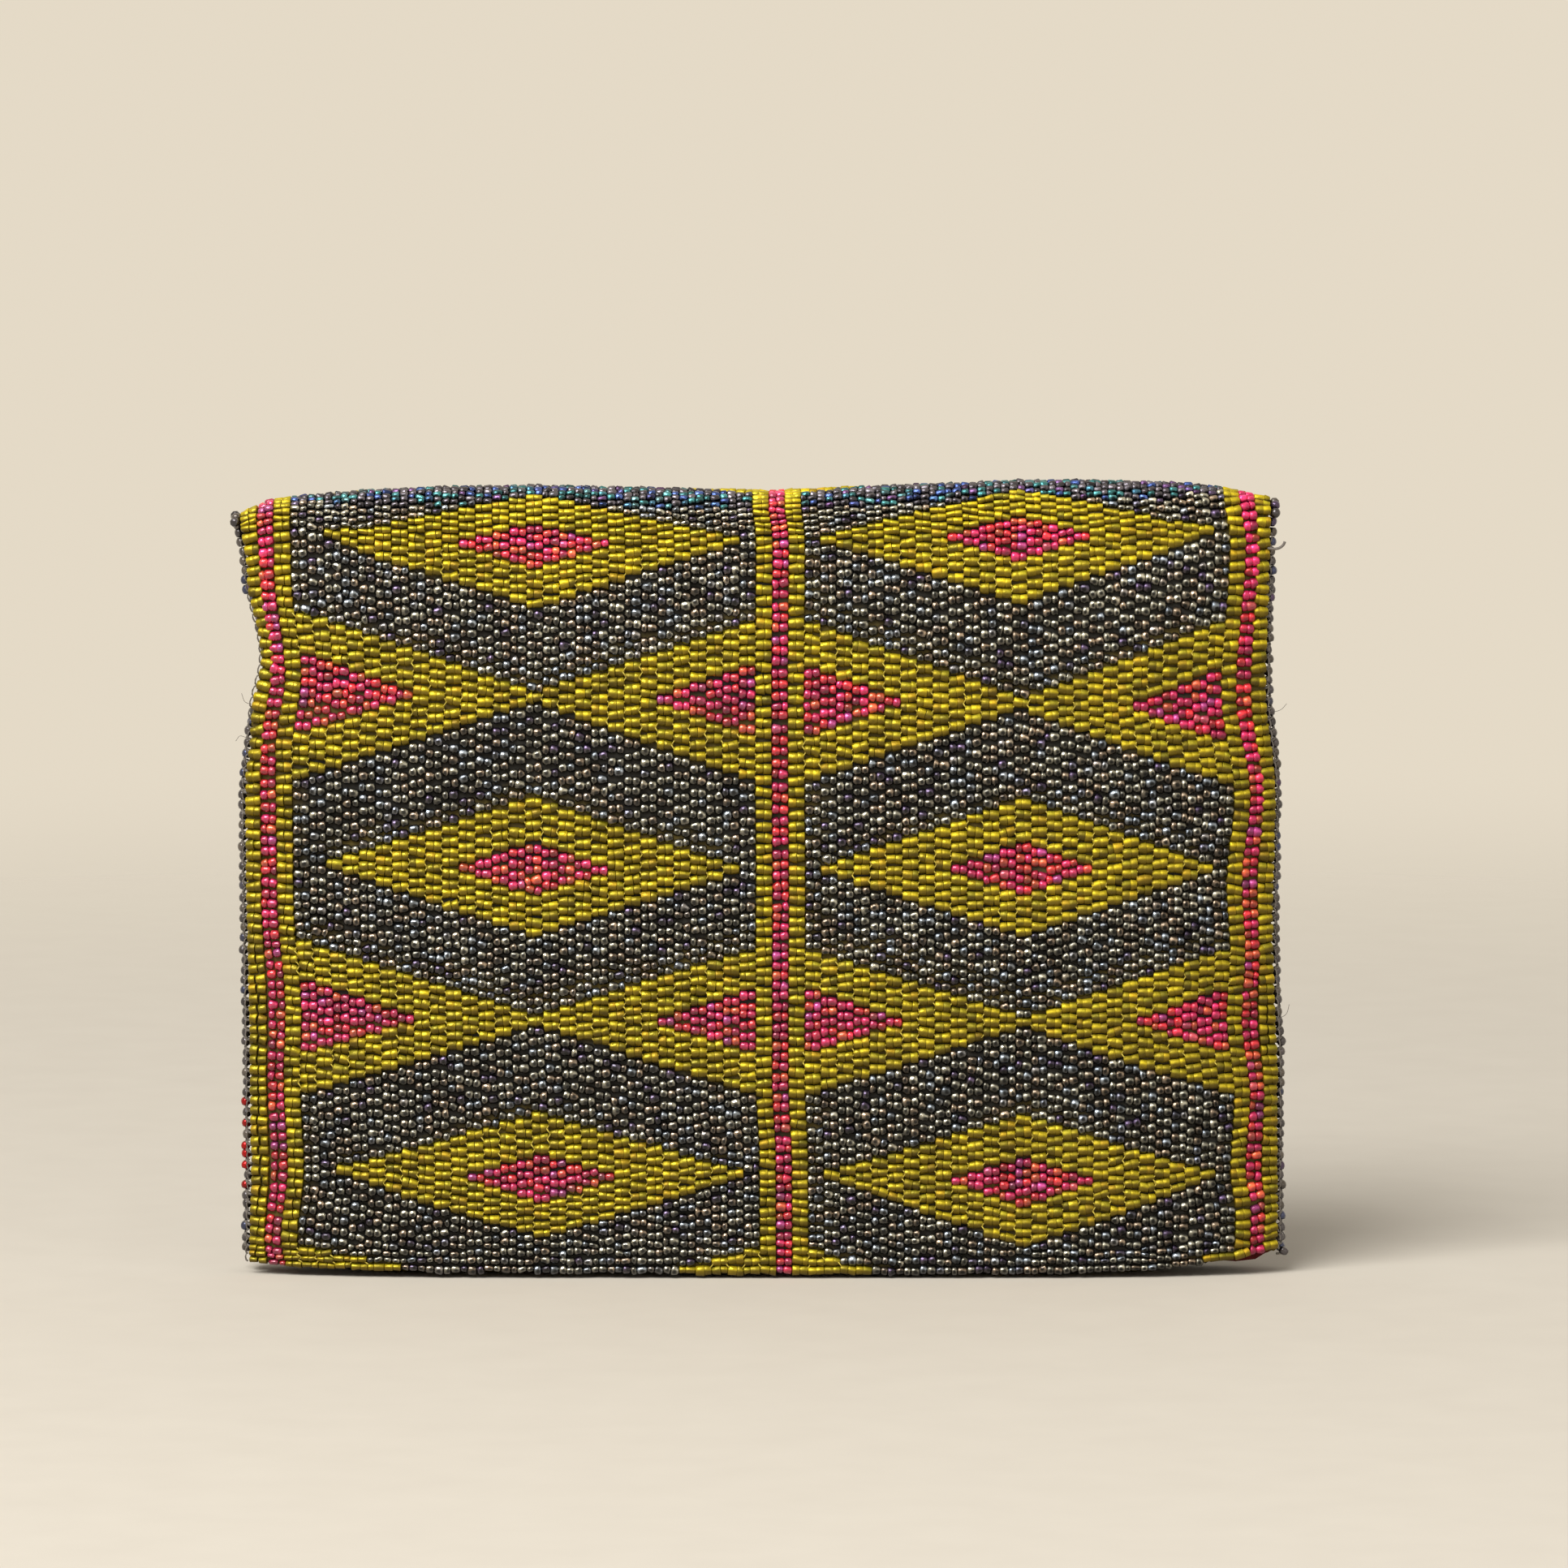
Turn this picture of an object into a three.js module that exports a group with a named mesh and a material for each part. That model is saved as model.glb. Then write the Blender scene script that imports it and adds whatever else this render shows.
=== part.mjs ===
import * as THREE from 'three';

// Beaded clutch bag standing on its bottom fold, in millimetres.
// +Z is up, X runs along the width, the flap faces -Y, and the origin lies under the middle of the bag.

// Beadwork
const columnPitch = 3.2;        // one column holds two beads side by side
const beadLayer = 2.06;         // thickness of the beadwork
const columnGroove = 0.8;       // depth of the groove between two columns
const columnsPerRib = 3;        // columns that stand together as one rib of the pocket
const columnsLeft = 32;         // columns left of the centre stripe
const columnsRight = 31;        // columns right of the centre stripe

// Pattern, counted in rows at the middle column of each block
const repeatRows = 30;          // height of one repeat
const hexagonRows = 29;
const diamondRows = 13;
const lozengeRows = 5;
const triangleStart = 7;        // columns from the block's middle to a triangle's tip
const blockOffset = 15;         // columns from the centre stripe to a block's middle
const rowsOnFlap = 71;          // rows from the flap's lower edge to the start of the roll
const rowsToRoll = 30.25;       // rows from the middle diamond to the start of the roll
const rowSqueeze = 0.1;         // share by which the lowest rows sit closer than the mean
const crowding = 4.8;           // length that the rows lose where they crowd towards the roll
const crowdingStart = 24.5;     // row where the crowding starts
const crowdingRows = 15.5;

// Bag
const foldAxisHeight = 149;
const foldRadiusMiddle = 8.8;
const foldRadiusEdge = 5.2;
const flapEdgeHeight = 1.8;     // the flap's lower edge above the floor
const flapBulge = 3.0;
const backBulge = 2.0;
const flapRollAngle = 95 * Math.PI / 180;
const mouthDrop = 10.5;         // the pocket's mouth below the axis of the fold
const pocketStandOff = 3.85;    // room for the snap between flap and pocket
const hemRoom = 0.45;           // room between flap and pocket at the seams and the base
const baseRise = 12;            // height over which the inner front leaves the flap
const cornerRadius = 2.4;
const lean = 1.6;               // the top sits this far behind the base
const setBack = 0.27;           // puts the middle of the depth on the origin

// Lining, seams and snap
const liningThickness = 0.8;
const gap = 0.3;
const edgeBeadWidth = 1.9;
const edgeBeadDepth = 2.2;
const snapRadius = 7;
const snapHeight = 32;
const studThickness = 1.5;
const socketThickness = 1.8;
const studRadius = 2.2;
const studLength = 1.1;

const columns = columnsLeft + 1 + columnsRight;
const halfWidth = columns * columnPitch / 2;
const flapLength = foldAxisHeight - flapEdgeHeight;
const rowPitch = flapLength / rowsOnFlap;
const edgeX = (column) => (column - columns / 2) * columnPitch;
const pocketTop = foldAxisHeight - mouthDrop;
const lowestRow = rowsToRoll - rowsOnFlap;
const rowV = (row) => {
  const s = (row - lowestRow) / rowsOnFlap;
  const u = Math.min(1, Math.max(0, (row - crowdingStart) / crowdingRows));
  const lost = crowding * u * u * (3 - 2 * u);
  if (s >= 1) return flapLength * s - lost;
  return Math.max(0, flapLength * (s - rowSqueeze * s * (1 - s)) - lost);
};
const slopeGap = gap * Math.hypot(1, rowPitch / 2 / columnPitch) / rowPitch;

const group = new THREE.Group();

const paints = {
  black: { color: 0x2a2a2d, metalness: 0.6, roughness: 0.35 },
  olive: { color: 0x9a8c16, metalness: 0.4, roughness: 0.35 },
  pink: { color: 0xc22a55, metalness: 0.4, roughness: 0.35 },
  edge: { color: 0x3b3740, metalness: 0.5, roughness: 0.4 },
  cloth: { color: 0x5c1519, metalness: 0.0, roughness: 0.9 },
  steel: { color: 0xb9bab6, metalness: 1.0, roughness: 0.3 },
};

// Bag section. The body is full over most of the width and thins at both side seams.
function fullness(x) {
  return Math.max(0, 1 - Math.pow(Math.abs(x) / halfWidth, 6));
}

function foldRadius(x) {
  return foldRadiusEdge + (foldRadiusMiddle - foldRadiusEdge) * fullness(x);
}

function swell(z) {
  const t = (foldAxisHeight - z) / flapLength;
  return (1 - Math.cos(1.15 * Math.PI * t)) / 2;
}

function leaned(x, y, z) {
  return [x, y + setBack + lean * z / foldAxisHeight, z];
}

// A point of the strip that hangs in front and rolls over the top. v runs up from the lower edge,
// w is the height over the inner face of the beadwork, negative on the lining side.
function flapPoint(x, v, w) {
  const depth = beadLayer - w;
  const r = foldRadius(x);
  if (v <= flapLength) {
    const z = flapEdgeHeight + v;
    const y = -(r + flapBulge * fullness(x) * swell(z)) + depth;
    return leaned(x, y, z);
  }
  const roll = (v - flapLength) / r;
  if (roll <= Math.PI) {
    const y = -(r - depth) * Math.cos(roll);
    const z = foldAxisHeight + (r - depth) * Math.sin(roll);
    return leaned(x, y, z);
  }
  const z = foldAxisHeight - (v - flapLength - Math.PI * r);
  return leaned(x, r + backBulge * fullness(x) * swell(z) - depth, z);
}

function rollV(x, angle) {
  return flapLength + angle * foldRadius(x);
}

// Faces of the pocket: the back, and the inner front that lies behind the flap. The inner front stands off
// most around the snap and least at the base and the mouth.
const snapLow = snapHeight - snapRadius - 1;
const snapHigh = snapHeight + snapRadius + 1;
const frontLevels = [0, baseRise, snapLow, snapHigh, pocketTop];
const standOffShare = [0, 0.7, 1, 1, 0.22];

function backY(x, z) {
  return foldRadius(x) + backBulge * fullness(x) * swell(z);
}

function frontY(x, z) {
  const flapInside = foldRadius(x) + flapBulge * fullness(x) * swell(z) - beadLayer - gap - liningThickness;
  const i = Math.max(1, frontLevels.findIndex((level) => z <= level));
  const part = (z - frontLevels[i - 1]) / (frontLevels[i] - frontLevels[i - 1]);
  const share = standOffShare[i - 1] + (standOffShare[i] - standOffShare[i - 1]) * part;
  return hemRoom + pocketStandOff * fullness(x) * share - flapInside;
}

// Closed bodies are gathered from patches given by their lower and upper limits across the columns.
class Beadwork {
  constructor(period) {
    this.period = period;
    this.vertices = [];
    this.lookup = new Map();
    this.triangles = [];
    this.walls = new Map();
  }

  crest(x) {
    if (!this.period) return beadLayer - columnGroove / 2;
    const part = (x / columnPitch + columns / 2) / this.period;
    const across = part - Math.floor(part + 1e-6);
    return beadLayer - columnGroove * Math.abs(2 * across - 1);
  }

  vertex(x, v, w) {
    const key = x.toFixed(3) + ' ' + v.toFixed(3) + ' ' + w.toFixed(3);
    if (!this.lookup.has(key)) {
      this.lookup.set(key, this.vertices.length / 3);
      this.vertices.push(...flapPoint(x, v, w));
    }
    return this.lookup.get(key);
  }

  triangle(a, b, c) {
    if (a !== b && b !== c && a !== c) this.triangles.push(a, b, c);
  }

  wall(low, high) {
    const from = low[0];
    const to = low[1];
    if (from === to) return;
    if (this.walls.delete(to + ' ' + from)) return;
    this.walls.set(from + ' ' + to, { from, to, high });
  }

  patch(samples, steps = 1) {
    const last = samples.length - 1;
    const level = (s, k) => s.low + (s.high - s.low) * k / steps;
    const top = samples.map((s) =>
      Array.from({ length: steps + 1 }, (_, k) => this.vertex(s.x, level(s, k), this.crest(s.x))));
    const under = [samples[0], samples[last]].map((s) =>
      Array.from({ length: steps + 1 }, (_, k) => this.vertex(s.x, level(s, k), 0)));
    for (let k = 0; k < steps; k++) {
      for (let i = 0; i < last; i++) {
        this.triangle(top[i][k], top[i + 1][k], top[i + 1][k + 1]);
        this.triangle(top[i][k], top[i + 1][k + 1], top[i][k + 1]);
      }
      this.triangle(under[0][k], under[1][k + 1], under[1][k]);
      this.triangle(under[0][k], under[0][k + 1], under[1][k + 1]);
      this.wall([under[1][k], under[1][k + 1]], [top[last][k], top[last][k + 1]]);
      this.wall([under[0][k + 1], under[0][k]], [top[0][k + 1], top[0][k]]);
    }
    this.wall([under[0][0], under[1][0]], top.map((t) => t[0]));
    this.wall([under[1][steps], under[0][steps]], top.map((t) => t[steps]).reverse());
  }

  geometry() {
    for (const { from, to, high } of this.walls.values()) {
      this.triangle(from, to, high[high.length - 1]);
      for (let i = high.length - 1; i > 0; i--) this.triangle(from, high[i], high[i - 1]);
    }
    const made = new THREE.BufferGeometry();
    made.setAttribute('position', new THREE.Float32BufferAttribute(this.vertices, 3));
    made.setIndex(this.triangles);
    return made;
  }
}

function add(name, geometry, paint) {
  const flat = geometry.index ? geometry.toNonIndexed() : geometry;
  flat.computeVertexNormals();
  const mesh = new THREE.Mesh(flat, new THREE.MeshStandardMaterial(paints[paint]));
  mesh.name = name;
  group.add(mesh);
}

// Fields of colour. Distances run in columns from a block's middle, heights in rows.
const halfHeight = (rows, d) => Math.max(0, (rows - d) / 2);

function run(from, to) {
  const steps = [from];
  for (let d = Math.floor(from + 0.5) + 0.5; d < to - 1e-6; d += 1) {
    if (d > from + 1e-6) steps.push(d);
  }
  steps.push(to);
  return steps;
}

// One arm of a field on one side of the block's middle, as patches between the given distances.
function arm(body, block, side, stops, low, high, steps = 1) {
  for (let i = 0; i + 1 < stops.length; i++) {
    const places = body.period ? run(stops[i], stops[i + 1]) : [stops[i], stops[i + 1]];
    const samples = places.map((d) => {
      const x = block.x + side * d * columnPitch;
      return { x, low: low(d, x), high: high(d, x) };
    });
    body.patch(side > 0 ? samples : samples.reverse(), steps);
  }
}

const blocks = [
  {
    name: 'left',
    x: edgeX(columnsLeft - blockOffset + 0.5),
    reach: { [-1]: columnsLeft - blockOffset - 2.5, 1: blockOffset - 1.5 },
  },
  {
    name: 'right',
    x: edgeX(columnsLeft + blockOffset + 0.5),
    reach: { [-1]: blockOffset - 1.5, 1: columnsRight - blockOffset - 2.5 },
  },
];
const hexagonStops = (end) => [0, 4.5, 7.5, 10.5, diamondRows, end];
const diamondStops = [0, 2.5, lozengeRows, 7.5, 10.5, diamondRows - 0.5];
const lozengeStops = [0, 2.5, lozengeRows - 0.5];
const bandStops = (end) => [0, 3.5, triangleStart, 10.5, end];
const gapColumns = gap / columnPitch;
const topRow = repeatRows;

const none = () => 0;
const hexagon = (d) => halfHeight(hexagonRows, d) - slopeGap;
const diamond = (d) => Math.max(0.02, (diamondRows - d) / 2 - slopeGap);
const diamondHole = (d) => halfHeight(diamondRows, d);
const lozenge = (d) => Math.max(0.02, (lozengeRows - d) / 2 - slopeGap);
const lozengeHole = (d) => halfHeight(lozengeRows, d);

// A field about a row, with an opening inside it, on the flat of the flap.
function field(name, paint, block, row, outer, inner, stops) {
  const body = new Beadwork(2);
  for (const side of [-1, 1]) {
    arm(body, block, side, stops(side), (d) => rowV(row - outer(d)), (d) => rowV(row - inner(d)));
    arm(body, block, side, stops(side), (d) => rowV(row + inner(d)), (d) => rowV(row + outer(d)));
  }
  add(name, body.geometry(), paint);
}

// The half of a field under a row, and the half that rolls over the top.
function lowerHalf(name, paint, block, row, outer, inner, stops) {
  const body = new Beadwork(2);
  for (const side of [-1, 1]) {
    arm(body, block, side, stops(side), (d) => rowV(row - outer(d)), (d) => rowV(row - inner(d)) - gap / 2);
  }
  add(name, body.geometry(), paint);
}

function rolledHalf(name, paint, block, row, high, inner, stops, steps) {
  const body = new Beadwork(0);
  for (const side of [-1, 1]) {
    arm(body, block, side, stops(side), (d) => rowV(row + inner(d)) + gap / 2, high, steps);
  }
  add(name, body.geometry(), paint);
}

for (const block of blocks) {
  const end = (side) => block.reach[side] - gapColumns;
  const hexagons = (side) => hexagonStops(end(side));
  const diamonds = () => diamondStops;
  const lozenges = () => lozengeStops;
  for (const [place, row] of [['middle', 0], ['bottom', -repeatRows]]) {
    const tail = place + '_' + block.name;
    field('black_hexagon_' + tail, 'black', block, row, hexagon, diamondHole, hexagons);
    field('olive_diamond_' + tail, 'olive', block, row, diamond, lozengeHole, diamonds);
    field('pink_lozenge_' + tail, 'pink', block, row, lozenge, none, lozenges);
  }
  lowerHalf('black_chevron_top_' + block.name, 'black', block, topRow, hexagon, diamondHole, hexagons);
  lowerHalf('olive_chevron_top_' + block.name, 'olive', block, topRow, diamond, lozengeHole, diamonds);
  lowerHalf('pink_wedge_top_' + block.name, 'pink', block, topRow, lozenge, none, lozenges);
  const rolledHexagons = (side) => [0, 2, 4, 6, 8, 10, 12, diamondRows, end(side)];
  const rolledDiamonds = () => [0, 2, 3.5, lozengeRows, 7, 9, 11, diamondRows - 0.5];
  const upTo = (shape) => (d) => rowV(topRow + shape(d));
  const upToEnd = (d, x) => rollV(x, flapRollAngle);
  const { name } = block;
  rolledHalf('black_roll_' + name, 'black', block, topRow, upToEnd, diamondHole, rolledHexagons, 5);
  rolledHalf('olive_roll_' + name, 'olive', block, topRow, upTo(diamond), lozengeHole, rolledDiamonds, 3);
  rolledHalf('pink_roll_' + name, 'pink', block, topRow, upTo(lozenge), none, lozenges, 2);
}

// Pink triangles that stand on the stripes between two hexagons.
for (const block of blocks) {
  for (const [place, row] of [['upper', repeatRows / 2], ['lower', -repeatRows / 2]]) {
    for (const side of [-1, 1]) {
      const body = new Beadwork(2);
      const half = (d) => Math.max(0.02, (d - triangleStart) / 2 - slopeGap);
      const stops = [triangleStart + 0.5, 10.5, block.reach[side] - gapColumns];
      arm(body, block, side, stops, (d) => rowV(row - half(d)), (d) => rowV(row + half(d)));
      const where = (side < 0) === (block.name === 'left') ? 'outer' : 'inner';
      add('pink_triangle_' + place + '_' + block.name + '_' + where, body.geometry(), 'pink');
    }
  }
}

// Olive ground: the bands between the hexagons with the stripe columns that carry them.
function stripeCells(body, places, stops) {
  for (let i = 0; i + 1 < stops.length; i++) {
    body.patch(places.map((x) => ({ x, low: stops[i](x), high: stops[i + 1](x) })));
  }
}

const rollStops = Array.from({ length: 6 }, (_, i) => (x) => rollV(x, flapRollAngle * i / 5));

for (const block of blocks) {
  const body = new Beadwork(2);
  const band = (d) => (repeatRows - hexagonRows + d) / 2;
  const opening = (d) => Math.max(0, (d - triangleStart) / 2);
  const below = -1.5 * repeatRows;
  const start = Math.max(0, 2 * (lowestRow - below) - (repeatRows - hexagonRows));
  for (const side of [-1, 1]) {
    const reach = block.reach[side];
    const heights = [0, rowV(below + band(reach))];
    for (const row of [-repeatRows / 2, repeatRows / 2]) {
      const stops = bandStops(reach);
      arm(body, block, side, stops, (d) => rowV(row - band(d)), (d) => rowV(row - opening(d)));
      arm(body, block, side, stops, (d) => rowV(row + opening(d)), (d) => rowV(row + band(d)));
      heights.push(rowV(row - band(reach)), rowV(row - opening(reach)));
      heights.push(rowV(row + opening(reach)), rowV(row + band(reach)));
    }
    const corner = [start, Math.max(start, 10.5), reach].filter((d) => d <= reach);
    arm(body, block, side, corner, none, (d) => rowV(below + band(d)));
    const inside = block.x + side * reach * columnPitch;
    const outside = inside + side * (columnPitch - gap / 2);
    const places = [Math.min(inside, outside), Math.max(inside, outside)];
    stripeCells(body, places, [...heights.map((v) => () => v), ...rollStops]);
  }
  add('olive_ground_' + block.name, body.geometry(), 'olive');
}

// Stripes one column wide that run the whole height.
const flatStops = Array.from({ length: 6 }, (_, i) => () => flapLength * i / 6);
for (const [name, column, paint, trimLeft, trimRight] of [
  ['pink_stripe_left', 1, 'pink', 1, 1],
  ['pink_stripe_middle', columnsLeft, 'pink', 1, 1],
  ['pink_stripe_right', columns - 2, 'pink', 1, 1],
  ['olive_edge_left', 0, 'olive', 0, 1],
  ['olive_edge_right', columns - 1, 'olive', 1, 0],
]) {
  const body = new Beadwork(1);
  const places = [
    edgeX(column) + trimLeft * gap / 2,
    edgeX(column + 0.5),
    edgeX(column + 1) - trimRight * gap / 2,
  ];
  stripeCells(body, places, [...flatStops, ...rollStops]);
  add(name, body.geometry(), paint);
}

// Sheets with an outer and an inner face, each laid out on its own grid of points and joined at the rims.
function sheet(name, paint, xs, count, outer, inner, innerXs = xs) {
  const positions = [];
  const triangles = [];
  const grid = (places, face) => Array.from({ length: count + 1 }, (_, k) => places.map((x) => {
    positions.push(...face(x, k));
    return positions.length / 3 - 1;
  }));
  const top = grid(xs, outer);
  const under = grid(innerXs, inner);
  const topEnd = xs.length - 1;
  const underEnd = innerXs.length - 1;
  const quad = (a, b, c, d) => triangles.push(a, b, c, a, c, d);
  for (let k = 0; k < count; k++) {
    for (let i = 0; i < topEnd; i++) quad(top[k][i], top[k][i + 1], top[k + 1][i + 1], top[k + 1][i]);
    for (let i = 0; i < underEnd; i++) {
      quad(under[k][i], under[k + 1][i], under[k + 1][i + 1], under[k][i + 1]);
    }
    quad(under[k][underEnd], under[k + 1][underEnd], top[k + 1][topEnd], top[k][topEnd]);
    quad(under[k + 1][0], under[k][0], top[k][0], top[k + 1][0]);
  }
  for (const k of [0, count]) {
    const facing = (a, b, c) => triangles.push(...(k ? [c, b, a] : [a, b, c]));
    for (let i = 0, j = 0; i < underEnd || j < topEnd;) {
      if (j === topEnd || (i < underEnd && innerXs[i + 1] <= xs[j + 1])) {
        facing(under[k][i], under[k][i + 1], top[k][j]);
        i += 1;
      } else {
        facing(under[k][i], top[k][j + 1], top[k][j]);
        j += 1;
      }
    }
  }
  const made = new THREE.BufferGeometry();
  made.setAttribute('position', new THREE.Float32BufferAttribute(positions, 3));
  made.setIndex(triangles);
  add(name, made, paint);
}

// Places across the width, closer together where the section thins towards the seams.
function across(inset) {
  const half = [0, 0.42, 0.62, 0.76, 0.87, 0.94, 1].map((t) => t * (halfWidth - inset));
  return [...half.slice(1).map((x) => -x).reverse(), ...half];
}

// Flap lining, then the roll over the top in beadwork and lining, which bends when the flap opens.
const flatSteps = 4;
const rollSteps = 5;
const liningV = (x, k) => {
  if (k <= flatSteps) return 0.8 + (flapLength - 0.8) * k / flatSteps;
  return rollV(x, flapRollAngle * (k - flatSteps) / rollSteps);
};
sheet('flap_lining', 'cloth', across(1.2), flatSteps + rollSteps,
  (x, k) => flapPoint(x, liningV(x, k), -gap),
  (x, k) => flapPoint(x, liningV(x, k), -gap - liningThickness));

const backRun = foldAxisHeight - pocketTop - gap;
const rollBack = (x, k) => {
  const first = flapRollAngle + gap / foldRadius(x) * 1.6;
  if (k <= rollSteps) return rollV(x, first + (Math.PI - first) * k / rollSteps);
  return rollV(x, Math.PI) + backRun * (k - rollSteps) / 2;
};
sheet('top_roll_beadwork', 'black', across(0), rollSteps + 2,
  (x, k) => flapPoint(x, rollBack(x, k), beadLayer - columnGroove / 2),
  (x, k) => flapPoint(x, rollBack(x, k), 0));
sheet('top_roll_lining', 'cloth', across(1.2), rollSteps + 2,
  (x, k) => flapPoint(x, rollBack(x, k), -gap),
  (x, k) => flapPoint(x, rollBack(x, k), -gap - liningThickness));

// Pocket section at a given inset from the outside: down the back, under the base, up the inner front.
const sides = 3;
const turns = 2;
const pocketSteps = sides + 2 * turns + frontLevels.length;
function pocketPoint(x, k, inset) {
  const radius = Math.max(cornerRadius - inset, 0.3);
  const low = inset + radius;
  if (k <= sides) {
    const z = pocketTop + (low - pocketTop) * k / sides;
    return leaned(x, backY(x, z) - inset, z);
  }
  const back = backY(x, low) - inset - radius;
  const front = frontY(x, low) + inset + radius;
  if (k <= sides + turns) {
    const a = Math.PI / 2 * (k - sides) / turns;
    return leaned(x, back + radius * Math.cos(a), low - radius * Math.sin(a));
  }
  if (k <= sides + 2 * turns + 1) {
    const a = Math.PI / 2 * (k - sides - turns - 1) / turns;
    return leaned(x, front - radius * Math.sin(a), low - radius * Math.cos(a));
  }
  const z = frontLevels[k - sides - 2 * turns - 1];
  return leaned(x, frontY(x, z) + inset, z);
}

// The columns of the pocket stand in ribs that run down the back, fade on the base and rise up the front.
const ribPitch = columnsPerRib * columnPitch;
const ribSteps = Math.ceil((halfWidth - gap) / ribPitch * 2) - 1;
const ribXs = [-halfWidth, ...Array.from({ length: 2 * ribSteps + 1 },
  (_, i) => (i - ribSteps) * ribPitch / 2), halfWidth];
const ribDepth = (x, k) => {
  if (k === sides + turns || k === sides + turns + 1) return 0;
  const part = Math.abs(x) / ribPitch;
  return columnGroove * Math.abs(2 * (part - Math.floor(part + 1e-6)) - 1);
};
sheet('pocket_beadwork', 'black', ribXs, pocketSteps,
  (x, k) => pocketPoint(x, k, ribDepth(x, k)),
  (x, k) => pocketPoint(x, k, beadLayer), across(0));
sheet('pocket_lining', 'cloth', across(1.2), pocketSteps,
  (x, k) => pocketPoint(x, k, beadLayer + gap),
  (x, k) => pocketPoint(x, k, beadLayer + gap + liningThickness));

// Side seams: a picot of dark beads along each side of the pocket.
function picot(name, side) {
  const teeth = Math.round((pocketTop - 8) / (2 * rowPitch));
  const bottom = 4;
  const step = (pocketTop - bottom - 1) / teeth;
  const outline = [[0, bottom], [edgeBeadWidth * 0.45, bottom]];
  for (let i = 0; i < teeth; i++) {
    outline.push([edgeBeadWidth, bottom + step * (i + 0.5)]);
    outline.push([edgeBeadWidth * 0.45, bottom + step * (i + 1)]);
  }
  outline.push([0, bottom + step * teeth]);
  const middle = (frontY(halfWidth, pocketTop / 2) + backY(halfWidth, pocketTop / 2)) / 2;
  const turn = side > 0 ? outline : outline.map(([x, z]) => [-x, z]).reverse();
  const shape = new THREE.Shape(turn.map(([x, z]) => new THREE.Vector2(x, z)));
  const solid = new THREE.ExtrudeGeometry(shape, { depth: edgeBeadDepth, bevelEnabled: false });
  const p = solid.getAttribute('position');
  for (let i = 0; i < p.count; i++) {
    const y = middle + edgeBeadDepth / 2 - p.getZ(i);
    p.setXYZ(i, ...leaned(side * (halfWidth + gap) + p.getX(i), y, p.getY(i)));
  }
  add(name, solid, 'edge');
}
picot('side_picot_left', -1);
picot('side_picot_right', 1);

// Snap: the stud half sits on the flap lining, the socket half on the inner front.
function turned(profile) {
  const lathe = new THREE.LatheGeometry(profile.map(([r, y]) => new THREE.Vector2(r, y)), 16);
  lathe.translate(0, leaned(0, 0, snapHeight)[1], snapHeight);
  return lathe;
}
const spread = [-1, -0.5, 0, 0.5, 1].flatMap((a) => [-1, -0.5, 0, 0.5, 1].map((b) => [a, b]))
  .filter(([a, b]) => Math.hypot(a, b) <= 1.01);
const liningFace = Math.max(...spread.map(([a, b]) =>
  flapPoint(a * snapRadius, snapHeight + b * snapRadius - flapEdgeHeight, -gap - liningThickness)[1]
  - leaned(0, 0, snapHeight + b * snapRadius)[1]));
const frontFace = Math.min(...spread.map(([a, b]) => frontY(a * snapRadius, snapHeight + b * snapRadius)));
const studBack = liningFace + gap;
const studFace = studBack + studThickness;
const socketBack = frontFace - gap;
const socketFace = socketBack - socketThickness;
add('snap_stud', turned([
  [0, studBack], [snapRadius, studBack], [snapRadius, studFace - 0.4], [snapRadius - 0.4, studFace],
  [studRadius, studFace], [studRadius, studFace + studLength - 0.3],
  [studRadius - 0.3, studFace + studLength], [0, studFace + studLength],
]), 'steel');
add('snap_socket', turned([
  [0, socketFace + studLength + 0.45], [studRadius + 0.3, socketFace + studLength + 0.45],
  [studRadius + 0.3, socketFace], [snapRadius - 0.4, socketFace], [snapRadius, socketFace + 0.4],
  [snapRadius, socketBack], [0, socketBack],
]), 'steel');

export default group;
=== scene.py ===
import math
from functools import partial

import bpy
import numpy as np
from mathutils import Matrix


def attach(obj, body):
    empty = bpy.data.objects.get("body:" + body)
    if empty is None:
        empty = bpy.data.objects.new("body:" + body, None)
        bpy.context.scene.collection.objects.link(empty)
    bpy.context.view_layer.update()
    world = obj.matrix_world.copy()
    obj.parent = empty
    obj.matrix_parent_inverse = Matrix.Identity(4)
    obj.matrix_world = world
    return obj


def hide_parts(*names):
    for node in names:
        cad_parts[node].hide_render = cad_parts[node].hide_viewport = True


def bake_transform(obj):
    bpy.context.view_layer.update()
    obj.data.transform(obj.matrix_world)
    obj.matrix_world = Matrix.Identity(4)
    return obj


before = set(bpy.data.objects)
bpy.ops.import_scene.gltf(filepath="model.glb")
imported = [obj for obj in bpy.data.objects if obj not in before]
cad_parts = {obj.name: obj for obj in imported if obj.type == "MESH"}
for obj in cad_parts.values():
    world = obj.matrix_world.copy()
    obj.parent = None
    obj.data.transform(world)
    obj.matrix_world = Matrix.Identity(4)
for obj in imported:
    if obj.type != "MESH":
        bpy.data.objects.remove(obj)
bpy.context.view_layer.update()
rng = np.random.default_rng(11)


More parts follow.
